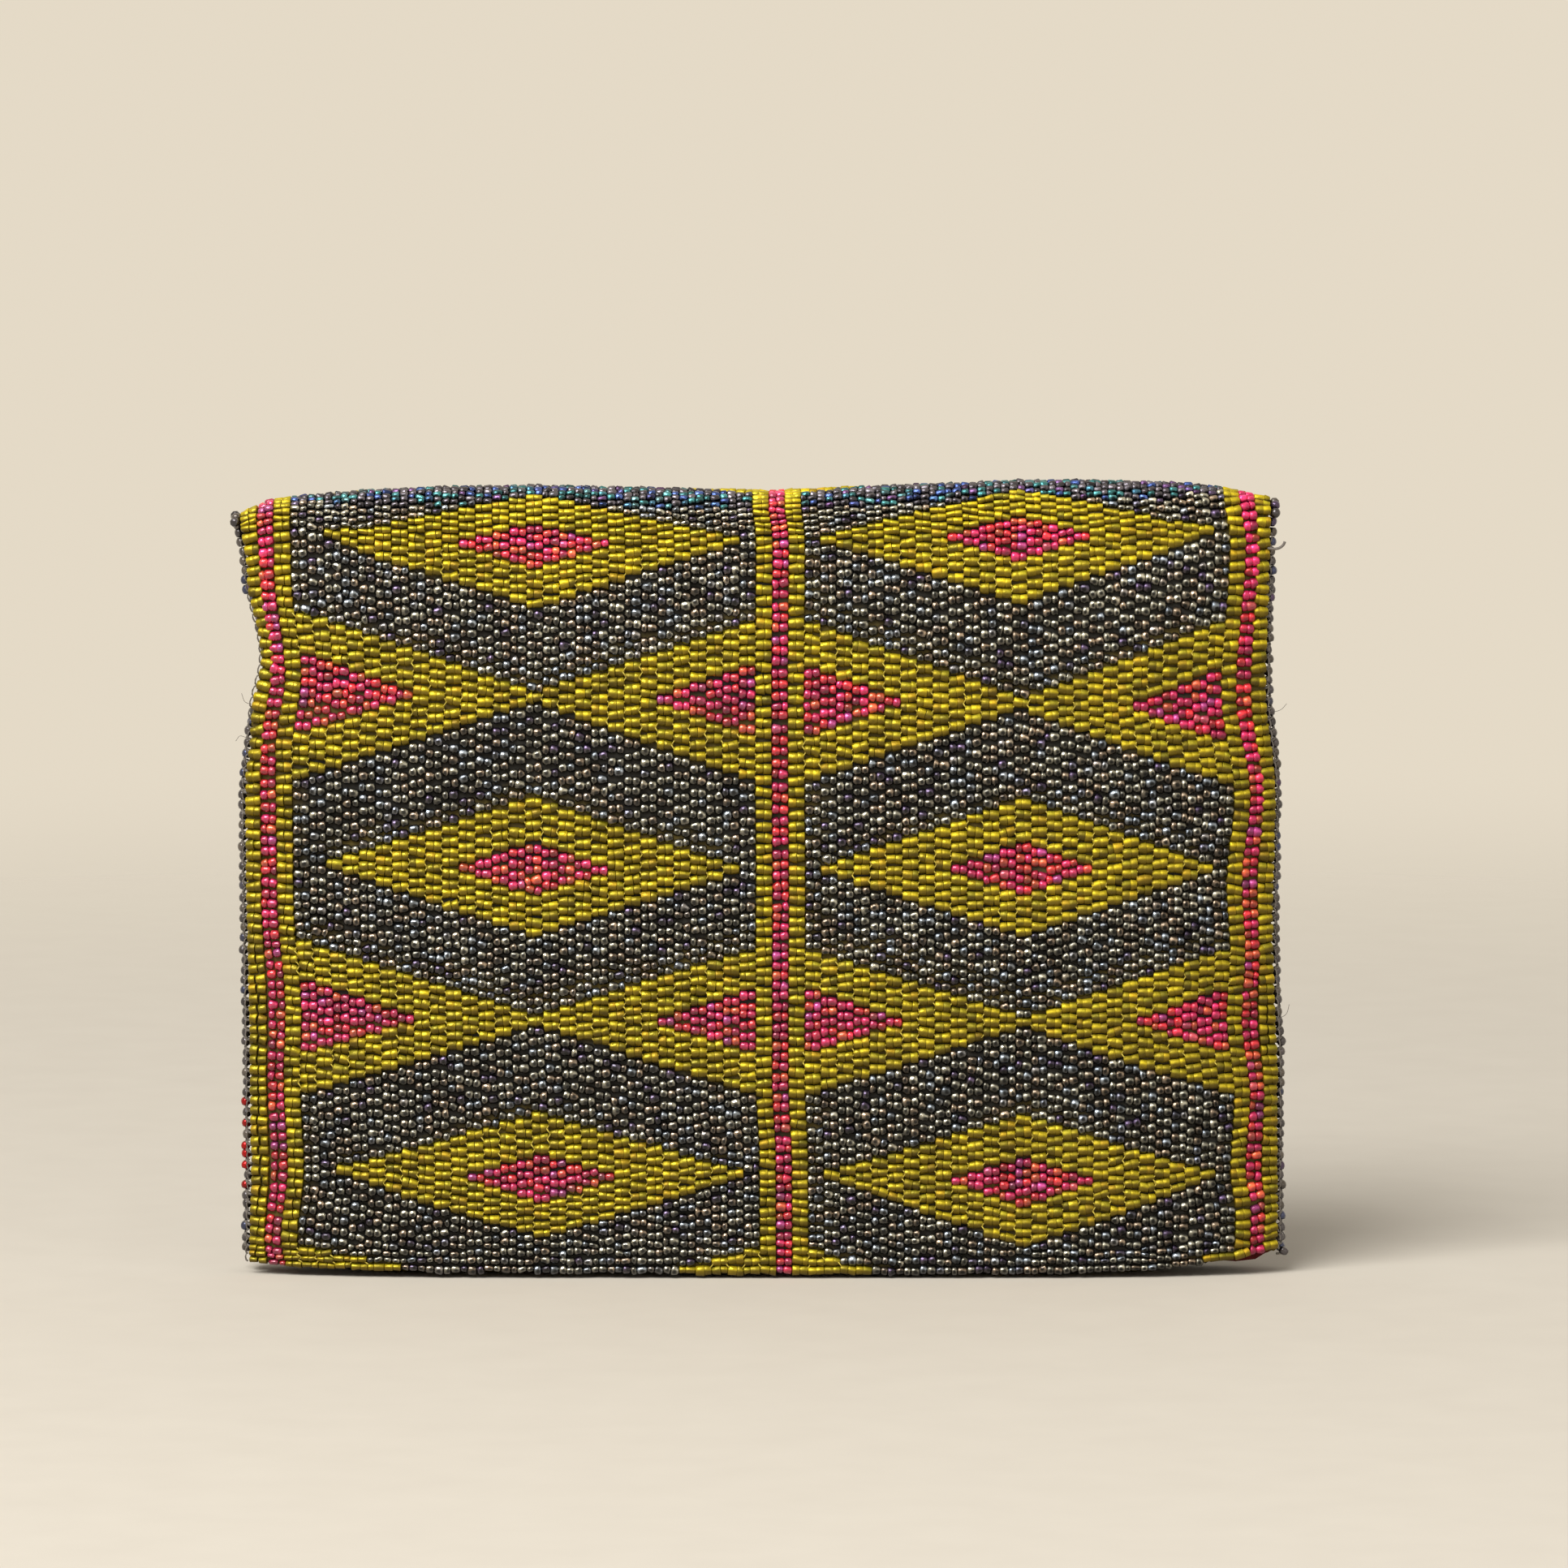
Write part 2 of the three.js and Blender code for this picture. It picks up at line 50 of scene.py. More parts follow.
# The weave. Flap, top roll, back, base and inner front are one strip of glass seed beads, two beads side by
# side in each column and neighbouring columns half a row apart, sewn bead by bead with waxed thread. Lengths
# are in millimetres.
MM = 0.001
COLUMNS = 64
COLUMN_WIDTH = 3.2
HALF_WIDTH = COLUMNS * COLUMN_WIDTH / 2
MIDDLE_COLUMN = COLUMNS // 2
ROWS_ON_FLAP = 71
LOWEST_ROW = -40.75
FIRST_ROLL_ROW = LOWEST_ROW + ROWS_ON_FLAP
FOLD_AXIS = 149.0
FLAP_EDGE = 1.8
FLAP_LENGTH = FOLD_AXIS - FLAP_EDGE
LENGTH_PAST_FLAP = 322.0
ROW_HEIGHT = FLAP_LENGTH / ROWS_ON_FLAP
ROW_SQUEEZE = 0.1
CROWDING, CROWDING_START, CROWDING_ROWS = 4.8, 24.5, 15.5
CROWDING_LATER, EVEN_HALF, LATE_HALF = 9.0, 80.0, 96.0
LOWER_EDGE = ((32, 0), (47, 1.3), (55, 0.6), (62, 2.4))
BEAD_RADIUS = 1.03
BEAD_LENGTH = COLUMN_WIDTH / 2
BEAD_LAYER = 2 * BEAD_RADIUS
LINING_GAP = 0.3
LINING_THICK = 0.8
ROLL_RADIUS_SIDE, ROLL_RADIUS_MORE = 5.2, 3.6
FLAP_SWELL, BACK_SWELL, SWELL_WAVE = 3.0, 2.0, 1.15
SET_BACK, LEAN = 0.27, 1.6
BASE_CORNER, LEAST_CORNER = 2.4, 0.3
POCKET_TOP = 138.5
FRONT_LEVELS = (0, 12, 24, 40, 89.25, 138.5)
STAND_OFF_SHARE = (0, 0.7, 1, 1, 0.61, 0.22)
SEAT_GAP, STAND_OFF = 0.45, 3.85
BELOW_FLAP = 3.0
FLAP_STEPS, ROLL_STEPS, BACK_STEPS, CORNER_STEPS, BASE_STEPS, FRONT_STEPS = 80, 40, 60, 8, 10, 60
ROLL_END, BACK_END = FLAP_STEPS + ROLL_STEPS - 2, FLAP_STEPS + ROLL_STEPS + BACK_STEPS - 3

# How far the hand-woven strip wanders from straight: at a few places across the bag, pairs of height and
# offset. The side edges pull in below the top, and the two lower corners lift, the pocket's too.
SIDEWAYS = (
    (-102.4, ((2, -0.3), (20, 0.1), (95, -0.5), (110, 0.8), (122, 3.0), (140, 0.2), (153, -1.4))),
    (-97.6, ((1, 0.9), (9, -0.2), (22, 1.3), (40, 0.6), (52, 1.0), (75, -0.6), (103, -0.8), (118, 1.2),
             (140, -0.9), (153, -1.1))),
    (-46.4, ((2, 2.6), (20, 2.6), (60, 1.2), (83, 1.0), (147, 1.4), (156, 1.2))),
    (1.6, ((2, 2.8), (25, 2.7), (40, 2.0), (78, 2.1), (112, 1.9), (146, 2.1), (156, 1.3))),
    (49.6, ((2, 2.4), (83, 2.4), (118, 1.8), (147, 1.3), (156, 1.0))),
    (97.6, ((5, 1.3), (15, 1.6), (22, 0.4), (37, 1.2), (52, -0.5), (66, 0.1), (80, -0.6), (97, 1.0),
            (118, -1.9), (146, 0.0), (156, -1.4))),
    (102.4, ((5, 0.6), (40, 0.5), (70, -0.6), (97, -0.3), (118, -2.2), (142, -1.8), (155, -1.4))),
)
UPWARD = (
    (-102.4, ((2, 0.3), (8, -0.9), (22, -0.3), (52, 0.4), (83, 0.1), (115, 1.9), (147, -0.2), (156, -2.4))),
    (-97, ((2, -0.3), (7.5, -2.0), (22, -0.3), (52, 0.4), (83, 0.1), (115, 1.9), (147, 0.5), (158, -0.7))),
    (-46, ((2, -1.1), (22, -2.4), (52, -0.3), (83, -1.1), (115, 0.9), (147, -1.1), (158, -0.2))),
    (0, ((2, -1.1), (22, -1.1), (52, -0.2), (83, -1.1), (115, 0.4), (147, 0.2), (158, -1.3))),
    (50, ((2, -3.6), (10, -3.6), (22, -3.0), (52, -0.6), (83, -0.9), (115, -0.4), (147, 0.7), (158, 0.8))),
    (75, ((2, -1.5), (10, -3.2), (22, -2.4), (52, -0.6), (83, -1.0), (115, -0.9), (147, 1.0), (158, 1.2))),
    (97, ((2, -2.3), (10, -2.4), (22, -1.2), (52, -0.6), (83, -1.1), (115, -1.5), (124, 0.0), (147, 0.0),
          (158, 1.5))),
    (102.4, ((2, -1.0), (22, -1.2), (52, -0.6), (83, -1.1), (115, -1.5), (124, 0.0), (147, 0.0), (158, 1.3))),
)
CORNER_LIFT = ((-97, 1.3), (-75, 0), (72, 0), (96, 2.6), (103, 3.8))
LIFT_FADE, LIFT_FADE_STEPS = 20.0, 12
CORNER_LIFT_TOP, CORNER_LIFT_FADE = 22.0, 18.0
PUCKER_COUNT, PUCKER_LEAST, PUCKER_MOST = 9, (0.04, 0.05, 0, 0.05), (0.32, 0.30, 2 * np.pi, 0.11)
PUCKERS = rng.uniform(PUCKER_LEAST, PUCKER_MOST, (PUCKER_COUNT, 4))
HUMP_SHARE, HUMP_TOP, HUMP_TOP_FADE, HUMP_LOW_FADE = 0.6, FOLD_AXIS + 4, 10.0, 8.0


def fullness(x):
    """One over most of the width, falling to nothing at the side edges by the sixth power."""
    return np.maximum(0, 1 - np.abs(x / HALF_WIDTH) ** 6)


def roll_radius(x):
    """Radius of the top roll: smaller at the sides, where the strip is pinched by its seams."""
    return ROLL_RADIUS_SIDE + ROLL_RADIUS_MORE * fullness(x)


def swell(z):
    """Belly of a panel below the roll: a little more than half a cosine wave down the height."""
    return (1 - np.cos(SWELL_WAVE * np.pi * (FOLD_AXIS - z) / FLAP_LENGTH)) / 2


def back_face(x, z):
    """Depth of the back's outer face: roll radius plus its swell."""
    return roll_radius(x) + BACK_SWELL * fullness(x) * swell(z)


def front_face(x, z):
    """Depth of the inner front's outer face: just inside the flap's lining, standing off most at the snap."""
    inside = roll_radius(x) + FLAP_SWELL * fullness(x) * swell(z) - BEAD_LAYER - LINING_GAP - LINING_THICK
    share = np.interp(z, FRONT_LEVELS, STAND_OFF_SHARE)
    return SEAT_GAP + STAND_OFF * fullness(x) * share - inside


def strip_section(x, inset=0.0):
    """The strip in planes across the bag, one for each x, a given distance inside its outer face: up the
    flap, half a turn over the top, down the back, round the base and up the inner front. Gives the measure
    along the strip (height on the flap, then length, evened so that rows stay level), depth and height."""
    x = np.asarray(x, float)[:, None]
    r = roll_radius(x)
    corner = max(BASE_CORNER - inset, LEAST_CORNER)
    up = np.linspace(-BELOW_FLAP, FLAP_LENGTH, FLAP_STEPS) + 0 * x
    low = inset + corner
    turn, down, quarter, across, rise = (np.linspace(*ends, steps)[1:] + 0 * x for *ends, steps in (
        (0, np.pi, ROLL_STEPS), (FOLD_AXIS, low, BACK_STEPS), (0, np.pi / 2, CORNER_STEPS),
        (0, 1, BASE_STEPS), (low, POCKET_TOP, FRONT_STEPS)))
    back_low = back_face(x, low) - inset
    front_low = front_face(x, low) + inset
    y, z = (np.hstack(stretches) for stretches in zip(
        (inset - r - FLAP_SWELL * fullness(x) * swell(FLAP_EDGE + up), FLAP_EDGE + up),
        (-(r - inset) * np.cos(turn), FOLD_AXIS + (r - inset) * np.sin(turn)),
        (back_face(x, down) - inset, down),
        (back_low - corner * (1 - np.cos(quarter)), inset + corner * (1 - np.sin(quarter))),
        ((back_low - corner) * (1 - across) + (front_low + corner) * across, inset + 0 * across),
        (front_low + corner * (1 - np.sin(quarter)), inset + corner * (1 - np.cos(quarter))),
        (front_face(x, rise) + inset, rise),
    ))
    length = np.hypot(np.diff(y[:, FLAP_STEPS - 1:]), np.diff(z[:, FLAP_STEPS - 1:])).cumsum(1)
    measure = np.hstack([up, FLAP_LENGTH + length * LENGTH_PAST_FLAP / length[:, -1:]])
    return measure, y, z


def eased(z, knots):
    """Values at heights, carried from knot to knot by a cubic that is level at each knot."""
    at, value = np.array(knots, float).T
    place = np.clip(np.searchsorted(at, z) - 1, 0, len(at) - 2)
    u = np.clip((z - at[place]) / (at[place + 1] - at[place]), 0, 1)
    u = u * u * (3 - 2 * u)
    return value[place] * (1 - u) + value[place + 1] * u


def wander(x, z, stations):
    """Offset at places of the strip: each station has its profile by height, and between two stations the
    offset goes over in a straight line."""
    across = np.array([s[0] for s in stations], float)
    profiles = np.stack([eased(z, s[1]) for s in stations])
    place = np.clip(np.searchsorted(across, x) - 1, 0, len(across) - 2)
    u = np.clip((x - across[place]) / (across[place + 1] - across[place]), 0, 1)
    low, high = (np.take_along_axis(profiles, place[None] + step, 0)[0] for step in (0, 1))
    return low * (1 - u) + high * u


def pucker(x, z):
    """Small hollows and humps of a soft strip: a sum of slanting sine waves."""
    waves = np.sin(PUCKERS[:, 0] * x[..., None] + PUCKERS[:, 1] * z[..., None] + PUCKERS[:, 2])
    return (PUCKERS[:, 3] * waves).sum(-1)


def strip_point(x, measure, inset=0.0):
    """Points of the strip: the section at each x read at the measures given, leaned back, puckered and moved
    by the weave's wander. The upward part of it fades out down the back and the inner front, where the lower
    corners lift instead."""
    at, *sections = strip_section(x, inset)
    y, z = (np.stack([np.interp(m, a, b) for m, a, b in zip(measure, at, section)]) for section in sections)
    x = np.asarray(x, float)[:, None] + 0 * z
    past_roll = np.clip((measure - at[:, ROLL_END - LIFT_FADE_STEPS, None]) / LIFT_FADE, 0, 1)
    lift = wander(x, z, UPWARD)
    near_base = np.clip((CORNER_LIFT_TOP - z) / CORNER_LIFT_FADE, 0, 1)
    corner = np.interp(x, *np.transpose(CORNER_LIFT)) * near_base
    rise = lift * (1 - past_roll) + corner * past_roll
    outward = np.where(y < 0, -1.0, 1.0) * (z > BASE_CORNER + inset)
    hump = (pucker(x, z) * outward * np.clip((HUMP_TOP - z) / HUMP_TOP_FADE, 0, 1)
            * np.clip(z / HUMP_LOW_FADE, 0, 1))
    y = y + SET_BACK + LEAN * z / FOLD_AXIS + HUMP_SHARE * hump
    return np.stack([x + wander(x, z, SIDEWAYS), y, z + rise], -1)


def row_measure(row, x):
    """Where a row lies along the strip: rows crowd towards the lower edge of the flap, and once more from
    below the roll to its crown, where a smooth step takes up the length lost; near the side edges, where the
    roll is tight, they do so only behind the crown."""
    s = (row - LOWEST_ROW) / ROWS_ON_FLAP
    late = CROWDING_LATER * np.clip((np.abs(x) - EVEN_HALF) / (LATE_HALF - EVEN_HALF), 0, 1)
    u = np.clip((row - CROWDING_START - late) / CROWDING_ROWS, 0, 1)
    return FLAP_LENGTH * np.where(s < 1, s - ROW_SQUEEZE * s * (1 - s), s) - CROWDING * u * u * (3 - 2 * u)


def lowest_row(column):
    """Lower edge of the flap in rows: it ends a little higher under the right block, and at the right corner
    it rises in a straight line, leaving the last rows out."""
    return LOWEST_ROW + np.interp(column, *np.transpose(LOWER_EDGE))


# Every bead of the strip: its column, row and place in the pair, and the way its hole, its outside and the
# strip run there. Along the flap's lower edge the last rows even out, so that all columns end on one line.
EARLY_START, LATE_START = 0.25, 0.75
BARE_END = 0.5
EVENED_ROWS = 4
PAIR_SPREADS = (0.12, 0.085, 0.07)
STEP_AHEAD, STEP_ASIDE = 0.5, 0.4
ROLL_OVERLAP = 0.2
bead_column = np.repeat(np.arange(COLUMNS), 2)
bead_x = (np.arange(2 * COLUMNS) + 0.5) * BEAD_LENGTH - HALF_WIDTH
early = np.abs(bead_column - MIDDLE_COLUMN) % 2 == 0
last_row = FIRST_ROLL_ROW + (LENGTH_PAST_FLAP - BARE_END + CROWDING) / ROW_HEIGHT
row_count = int(last_row - LOWEST_ROW)
first_row = LOWEST_ROW + np.where(early, EARLY_START, LATE_START)
bead_row = first_row[:, None] + np.arange(row_count)
edge_row = first_row + np.ceil(lowest_row(bead_column) - first_row)
evened = np.clip(1 - (bead_row - edge_row[:, None]) / EVENED_ROWS, 0, 1)
evening = (lowest_row(bead_column) + 0.5 - edge_row)[:, None] * evened
bead_measure = row_measure(bead_row + evening, bead_x[:, None])
pair_slip, pair_tilt, pair_lift = (np.repeat(rng.normal(0, spread, (COLUMNS, row_count)), 2, 0)
                                   for spread in PAIR_SPREADS)
in_pair = np.tile((-0.5, 0.5), COLUMNS)[:, None] * BEAD_LENGTH
bead_measure = bead_measure + pair_slip + pair_tilt * in_pair
here = strip_point(bead_x, bead_measure)
ahead = strip_point(bead_x, bead_measure + STEP_AHEAD) - strip_point(bead_x, bead_measure - STEP_AHEAD)
beside = strip_point(bead_x + STEP_ASIDE, bead_measure) - strip_point(bead_x - STEP_ASIDE, bead_measure)


def unit(v):
    """Vectors brought to length one."""
    return v / np.linalg.norm(v, axis=-1, keepdims=True)


bead_hole = unit(beside)
bead_out = unit(np.cross(bead_hole, unit(ahead)))
bead_along = np.cross(bead_out, bead_hole)
bead_centre = here - BEAD_RADIUS * bead_out
spacing = np.linalg.norm(np.gradient(bead_centre, axis=1), axis=-1)
section_measure = strip_section(bead_x)[0]
past_flap = bead_row >= FIRST_ROLL_ROW
on_flap = ~past_flap & (bead_row >= edge_row[:, None])
on_roll = past_flap & (bead_measure <= section_measure[:, ROLL_END, None] + ROLL_OVERLAP)
on_back = past_flap & ~on_roll & (bead_measure <= section_measure[:, BACK_END, None])
on_inside = past_flap & ~on_roll & ~on_back & (bead_measure <= section_measure[:, -1:] - BARE_END)

# The pattern repeats every 30 rows in two blocks between pink stripes: a black hexagon with an olive diamond
# and a pink lozenge in it, olive ground between hexagons, and pink triangles pointing in from the stripes.
REPEAT_ROWS = 30
HEXAGON, DIAMOND, LOZENGE = 14, 6, 2
BLOCK_CENTRES = (17, 47)
STRIPE_COLUMNS = (1, 32, 62)
OLIVE_COLUMNS = (0, 2, 31, 33, 61, 63)
TRIANGLE_START = 8
BLACK, OLIVE, PINK = 0, 1, 2


def field_colour(column, row):
    """Colour of a cell: rows from the nearest hexagon's middle plus half the columns from the block's middle
    say black, olive or pink; between hexagons it is olive with pink wedges."""
    from_centre = np.minimum(*(np.abs(column - c) for c in BLOCK_CENTRES))
    from_hexagon = np.abs((row + REPEAT_ROWS / 2) % REPEAT_ROWS - REPEAT_ROWS / 2)
    reach = from_hexagon + from_centre / 2
    wedge = REPEAT_ROWS / 2 - from_hexagon <= (from_centre - TRIANGLE_START) / 2
    colour = np.full(row.shape, OLIVE)
    colour[reach <= HEXAGON] = BLACK
    colour[reach <= DIAMOND] = OLIVE
    colour[reach <= LOZENGE] = PINK
    colour[(reach > HEXAGON) & wedge & (from_centre >= TRIANGLE_START)] = PINK
    colour[np.isin(column, OLIVE_COLUMNS)] = OLIVE
    colour[np.isin(column, STRIPE_COLUMNS)] = PINK
    return colour


# The beads' own small differences: tint, shade, turn, size, lift and taper, and how a pair shares its length.
# The beads are duller towards the right, and their tone has painted light and shade in it: darker towards the
# base, lighter towards the top.
SHADE_SPREAD, SHADE_RANGE = 0.22, (0.5, 1.7)
PAINTED_LIGHT_HEIGHTS, PAINTED_LIGHT_SHADES = (0, 45, 75, 120, 150), (0.87, 0.88, 0.95, 1.01, 1.19)
SIZE_MEAN, SIZE_SPREAD, SIZE_RANGE = 0.98, 0.05, (0.86, 1.08)
TURN_SPREAD, LIFT_SPREAD, TAPER_SPREAD = 0.05, 0.05, 0.08
UNDERSIDE, UNDERSIDE_LIFT = -0.5, -0.12
DULL_FROM, DULL_TO = -20.0, 90.0
SPLIT_SPREAD, SPLIT_MOST = 0.07, 0.15
bead_colour = field_colour(bead_column[:, None] + 0 * bead_row.astype(int), bead_row)
bead_tint = rng.random(bead_row.shape)
bead_shade = np.clip(rng.normal(1.0, SHADE_SPREAD, bead_row.shape), *SHADE_RANGE)
# Painted light and shade: every bead's tone scaled from darker at the base to lighter at the top.
bead_shade *= np.interp(bead_centre[..., 2], PAINTED_LIGHT_HEIGHTS, PAINTED_LIGHT_SHADES)
bead_turn = pair_tilt + rng.normal(0, TURN_SPREAD, bead_row.shape)
bead_size = np.clip(rng.normal(SIZE_MEAN, SIZE_SPREAD, bead_row.shape), *SIZE_RANGE)
bead_lift = pair_lift + rng.normal(0, LIFT_SPREAD, bead_row.shape)
bead_lift[bead_out[..., 2] < UNDERSIDE] = UNDERSIDE_LIFT
bead_taper = rng.normal(0, TAPER_SPREAD, bead_row.shape)
bead_worn = np.clip((bead_x[:, None] - DULL_FROM) / (DULL_TO - DULL_FROM), 0, 1) + 0 * bead_row
pair_split = np.clip(rng.normal(0, SPLIT_SPREAD, (COLUMNS, row_count)), -SPLIT_MOST, SPLIT_MOST)
bead_split = np.repeat(pair_split, 2, 0)

# The form of a bead and its share of the room it has: an arc in degrees over the outside, and the part of its
# patch of the map that it fills.
BEAD_ARC = 200
PATCH_EDGE, PATCH_SHARE = 0.1, 0.8
FLANK_SHARE = 0.8
BEAD_GIRTH, GIRTH_MOST, LENGTH_SHARE = 0.985, 1.02, 0.985


def grid_quads(n, m, closed=True):
    """Faces of a grid of n rows with m points in each, the rows closed to rings or left open."""
    i, j = np.meshgrid(np.arange(n - 1), np.arange(m if closed else m - 1), indexing="ij")
    k = (j + 1) % m
    return np.stack([i * m + j, (i + 1) * m + j, (i + 1) * m + k, i * m + k], -1).reshape(-1, 4)


def bead_form(arcs, rings, end, crisp=False):
    """A bead cut lengthwise: rings along its hole, from the end that faces out of the pair, each an arc over
    the outside closed by a flat underside. Gives points as along, up and out, their flank (0 on the crown, 1
    low down or at an end), places on the bead's patch of the map, faces, and which of these are smooth; a
    crisp bead keeps its end bevels apart from its barrel."""
    along, girth = np.array(rings, float).T
    angle = np.radians(np.linspace(-BEAD_ARC / 2, BEAD_ARC / 2, arcs + 1))
    a, t = np.meshgrid(along, angle, indexing="ij")
    g = np.repeat(girth, arcs + 1).reshape(a.shape)
    points = np.stack([a, np.sin(t) * g, np.cos(t) * g], -1).reshape(-1, 3)
    # The flank value says where painted shade falls: on both flanks and at the ends, between neighbouring
    # beads.
    flank = np.clip(np.abs(np.sin(t)) ** 2 * FLANK_SHARE + (1 - g) * end, 0, 1).ravel()
    patch = PATCH_EDGE + PATCH_SHARE * (np.stack([a, t / np.radians(BEAD_ARC)], -1).reshape(-1, 2) + 0.5)
    n, m = len(along), arcs + 1
    faces = [*grid_quads(n, m), np.arange(m), np.arange(n * m)[:-m - 1:-1]]
    i, j = np.divmod(np.arange((n - 1) * m), m)
    barrel = (i > 0) & (i < n - 2) if crisp else i >= 0
    smooth = np.append((j < arcs) & barrel, (False, False))
    return points, flank, patch, faces, smooth


def put_mesh(name, material, points, faces, attributes=(), maps=(), smooth=None):
    """An object at the origin from points in millimetres and faces as rows of corners, smooth shaded unless
    said face by face, with values on its points and maps given point by point."""
    mesh = bpy.data.meshes.new(name)
    mesh.materials.append(material)
    corners, sizes = np.concatenate(faces), [len(f) for f in faces]
    mesh.vertices.add(len(points))
    mesh.vertices.foreach_set("co", (np.asarray(points) * MM).astype(np.float32).ravel())
    mesh.loops.add(len(corners))
    mesh.loops.foreach_set("vertex_index", corners.astype(np.int32))
    mesh.polygons.add(len(sizes))
    mesh.polygons.foreach_set("loop_start", np.concatenate([[0], np.cumsum(sizes)[:-1]]).astype(np.int32))
    mesh.polygons.foreach_set("use_smooth", np.ones(len(sizes), bool) if smooth is None else smooth)
    for key, values in attributes:
        mesh.attributes.new(key, "FLOAT", "POINT").data.foreach_set("value", values.astype(np.float32))
    for key, places in maps:
        layer = mesh.uv_layers.new(name=key)
        layer.uv.foreach_set("vector", places[corners].astype(np.float32).ravel())
    mesh.update(calc_edges=True)
    mesh.validate()
    piece = bpy.data.objects.new(name, mesh)
    bpy.context.scene.collection.objects.link(piece)
    return piece


def put_beads(name, material, chosen, form, girth=BEAD_GIRTH, loose=1.0):
    """One object of all the chosen beads: the bead form laid along each bead's hole, scaled to the rows'
    spacing and to its share of the pair, turned, tapered and lifted a little, every bead on its own patch of
    one map and over the whole of another, its upper side up whichever way it faces, so that the painted shade
    of its lower side stays on the side that faces down."""
    local, flank, patch, faces, smooth = form
    centre, hole, out, along = (v[chosen] for v in (bead_centre, bead_hole, bead_out, bead_along))
    turn, split, lift = (v[chosen][:, None] for v in (bead_turn * loose, bead_split, bead_lift))
    taper, size = (v[chosen][:, None, None] for v in (bead_taper, bead_size))
    outward = np.where(np.arange(2 * COLUMNS) % 2, -1, 1)[np.nonzero(chosen)[0], None]
    rising = np.where(along[:, 2:] < 0, -1, 1) * outward
    centre = centre + hole * split * BEAD_LENGTH
    hole, along = hole * np.cos(turn) + along * np.sin(turn), along * np.cos(turn) - hole * np.sin(turn)
    hole, along = hole * outward * (1 + 2 * split * outward), along * outward
    size = size * (1 + taper * local[:, :1] * 2 * loose)
    high = np.minimum(spacing[chosen] / 2, BEAD_RADIUS * GIRTH_MOST)[:, None, None] * girth
    points = (
        (centre + lift * out)[:, None]
        + local[:, 0, None] * hole[:, None] * BEAD_LENGTH * LENGTH_SHARE
        + local[:, 1, None] * along[:, None] * high * size
        + local[:, 2, None] * out[:, None] * BEAD_RADIUS * size
    )
    # The own map's up turns with the bead's facing, so that the painted shade of the lower side falls on the
    # side facing down.
    facing_up = np.degrees(np.arcsin(out[:, 2:])) / BEAD_ARC
    aside, upward = (patch.T - 0.5) / PATCH_SHARE
    own = np.stack([0.5 + aside * outward, 0.5 + upward * rising + facing_up], -1)
    count, each = points.shape[:2]
    side = math.ceil(math.sqrt(count))
    cell = np.stack([np.arange(count) % side, np.arange(count) // side], -1)
    places = (cell[:, None] + patch) / side
    corners = (np.arange(count)[:, None] * each + np.concatenate(faces)).ravel()
    ends = np.cumsum(np.tile([len(f) for f in faces], count))[:-1]
    values = (("tint", np.repeat(bead_tint[chosen], each)),
              ("shade", np.repeat(bead_shade[chosen] ** loose, each)), ("flank", np.tile(flank, count)),
              ("worn", np.repeat(bead_worn[chosen], each)))
    return put_mesh(name, material, points.reshape(-1, 3), np.split(corners, ends), values,
                    (("OFBake", places.reshape(-1, 2)), ("bead", own.reshape(-1, 2))), np.tile(smooth, count))


# Bead glass. The black beads are gunmetal with bronze, steel blue and violet ones among them; the olive beads
# are golden olive with an inner lustre; the pink beads run from magenta through red to coral.
NODES_ACROSS, NODE_WIDE, NODE_HIGH = 8, 220, 320
GLASS_COLOURS = ("Body", "Second", "Third", "Rare", "Painted lower shade")
GLASS_VALUES = ("Painted lower share", "Painted lower edge", "Core painted reflection", "Painted flank shade", "Smooth", "Dull", "Coat")
TINT_STEPS = {"Second": (0.46, 0.58), "Third": (0.74, 0.82), "Rare": (0.91, 0.95)}
CORE_EDGE, CORE_WIDE = (0.70, 0.22), 1.8
CORE_DRIFT, CORE_DRIFTS = 0.5, ((13.7, -0.12), (29.3, 0.1))
LOW_SOFT = 0.35
GLOSS_TURNS = 7.0
CLOUD_NOISE, CLOUD_DEPTH = (900.0, 2.0), 0.5
UNEVEN_NOISE, UNEVEN_HEIGHT = (1500.0, 1.0), 0.00012
WORN_ROUGHER, WORN_COAT_LOSS = 0.16, 0.7
COAT_ROUGHNESS = 0.10


def feed(tree, node, sockets):
    """Gives a node's sockets, by name or number, outputs of other nodes or plain values."""
    for key, value in sockets.items():
        if isinstance(value, bpy.types.NodeSocket):
            tree.links.new(value, node.inputs[key])
        else:
            node.inputs[key].default_value = value


def add_node(tree, kind, sockets=(), **fields):
    """A node with its own fields set and its sockets fed, laid out in rows in the order of making."""
    made = len(tree.nodes)
    node = tree.nodes.new(kind)
    node.location = (made % NODES_ACROSS * NODE_WIDE, -(made // NODES_ACROSS) * NODE_HIGH)
    for key, value in fields.items():
        setattr(node, key, value)
    feed(tree, node, dict(sockets))
    return node


def new_group(name, colours, values, results):
    """An empty shader group that takes colours and values, and gives a colour and the results named. Returned
    are its tree, what comes in and the node for what goes out."""
    tree = bpy.data.node_groups.new(name, "ShaderNodeTree")
    sockets = [(key, "INPUT", "Color") for key in colours] + [(key, "INPUT", "Float") for key in values]
    sockets += [("Color", "OUTPUT", "Color")] + [(key, "OUTPUT", "Float") for key in results]
    for key, side, kind in sockets:
        tree.interface.new_socket(key, in_out=side, socket_type="NodeSocket" + kind)
    return tree, add_node(tree, "NodeGroupInput").outputs, add_node(tree, "NodeGroupOutput")


def new_material(name):
    """A material, its node tree and its shader."""
    material = bpy.data.materials.new(name)
    material.use_nodes = True
    return material, material.node_tree, material.node_tree.nodes["Principled BSDF"]


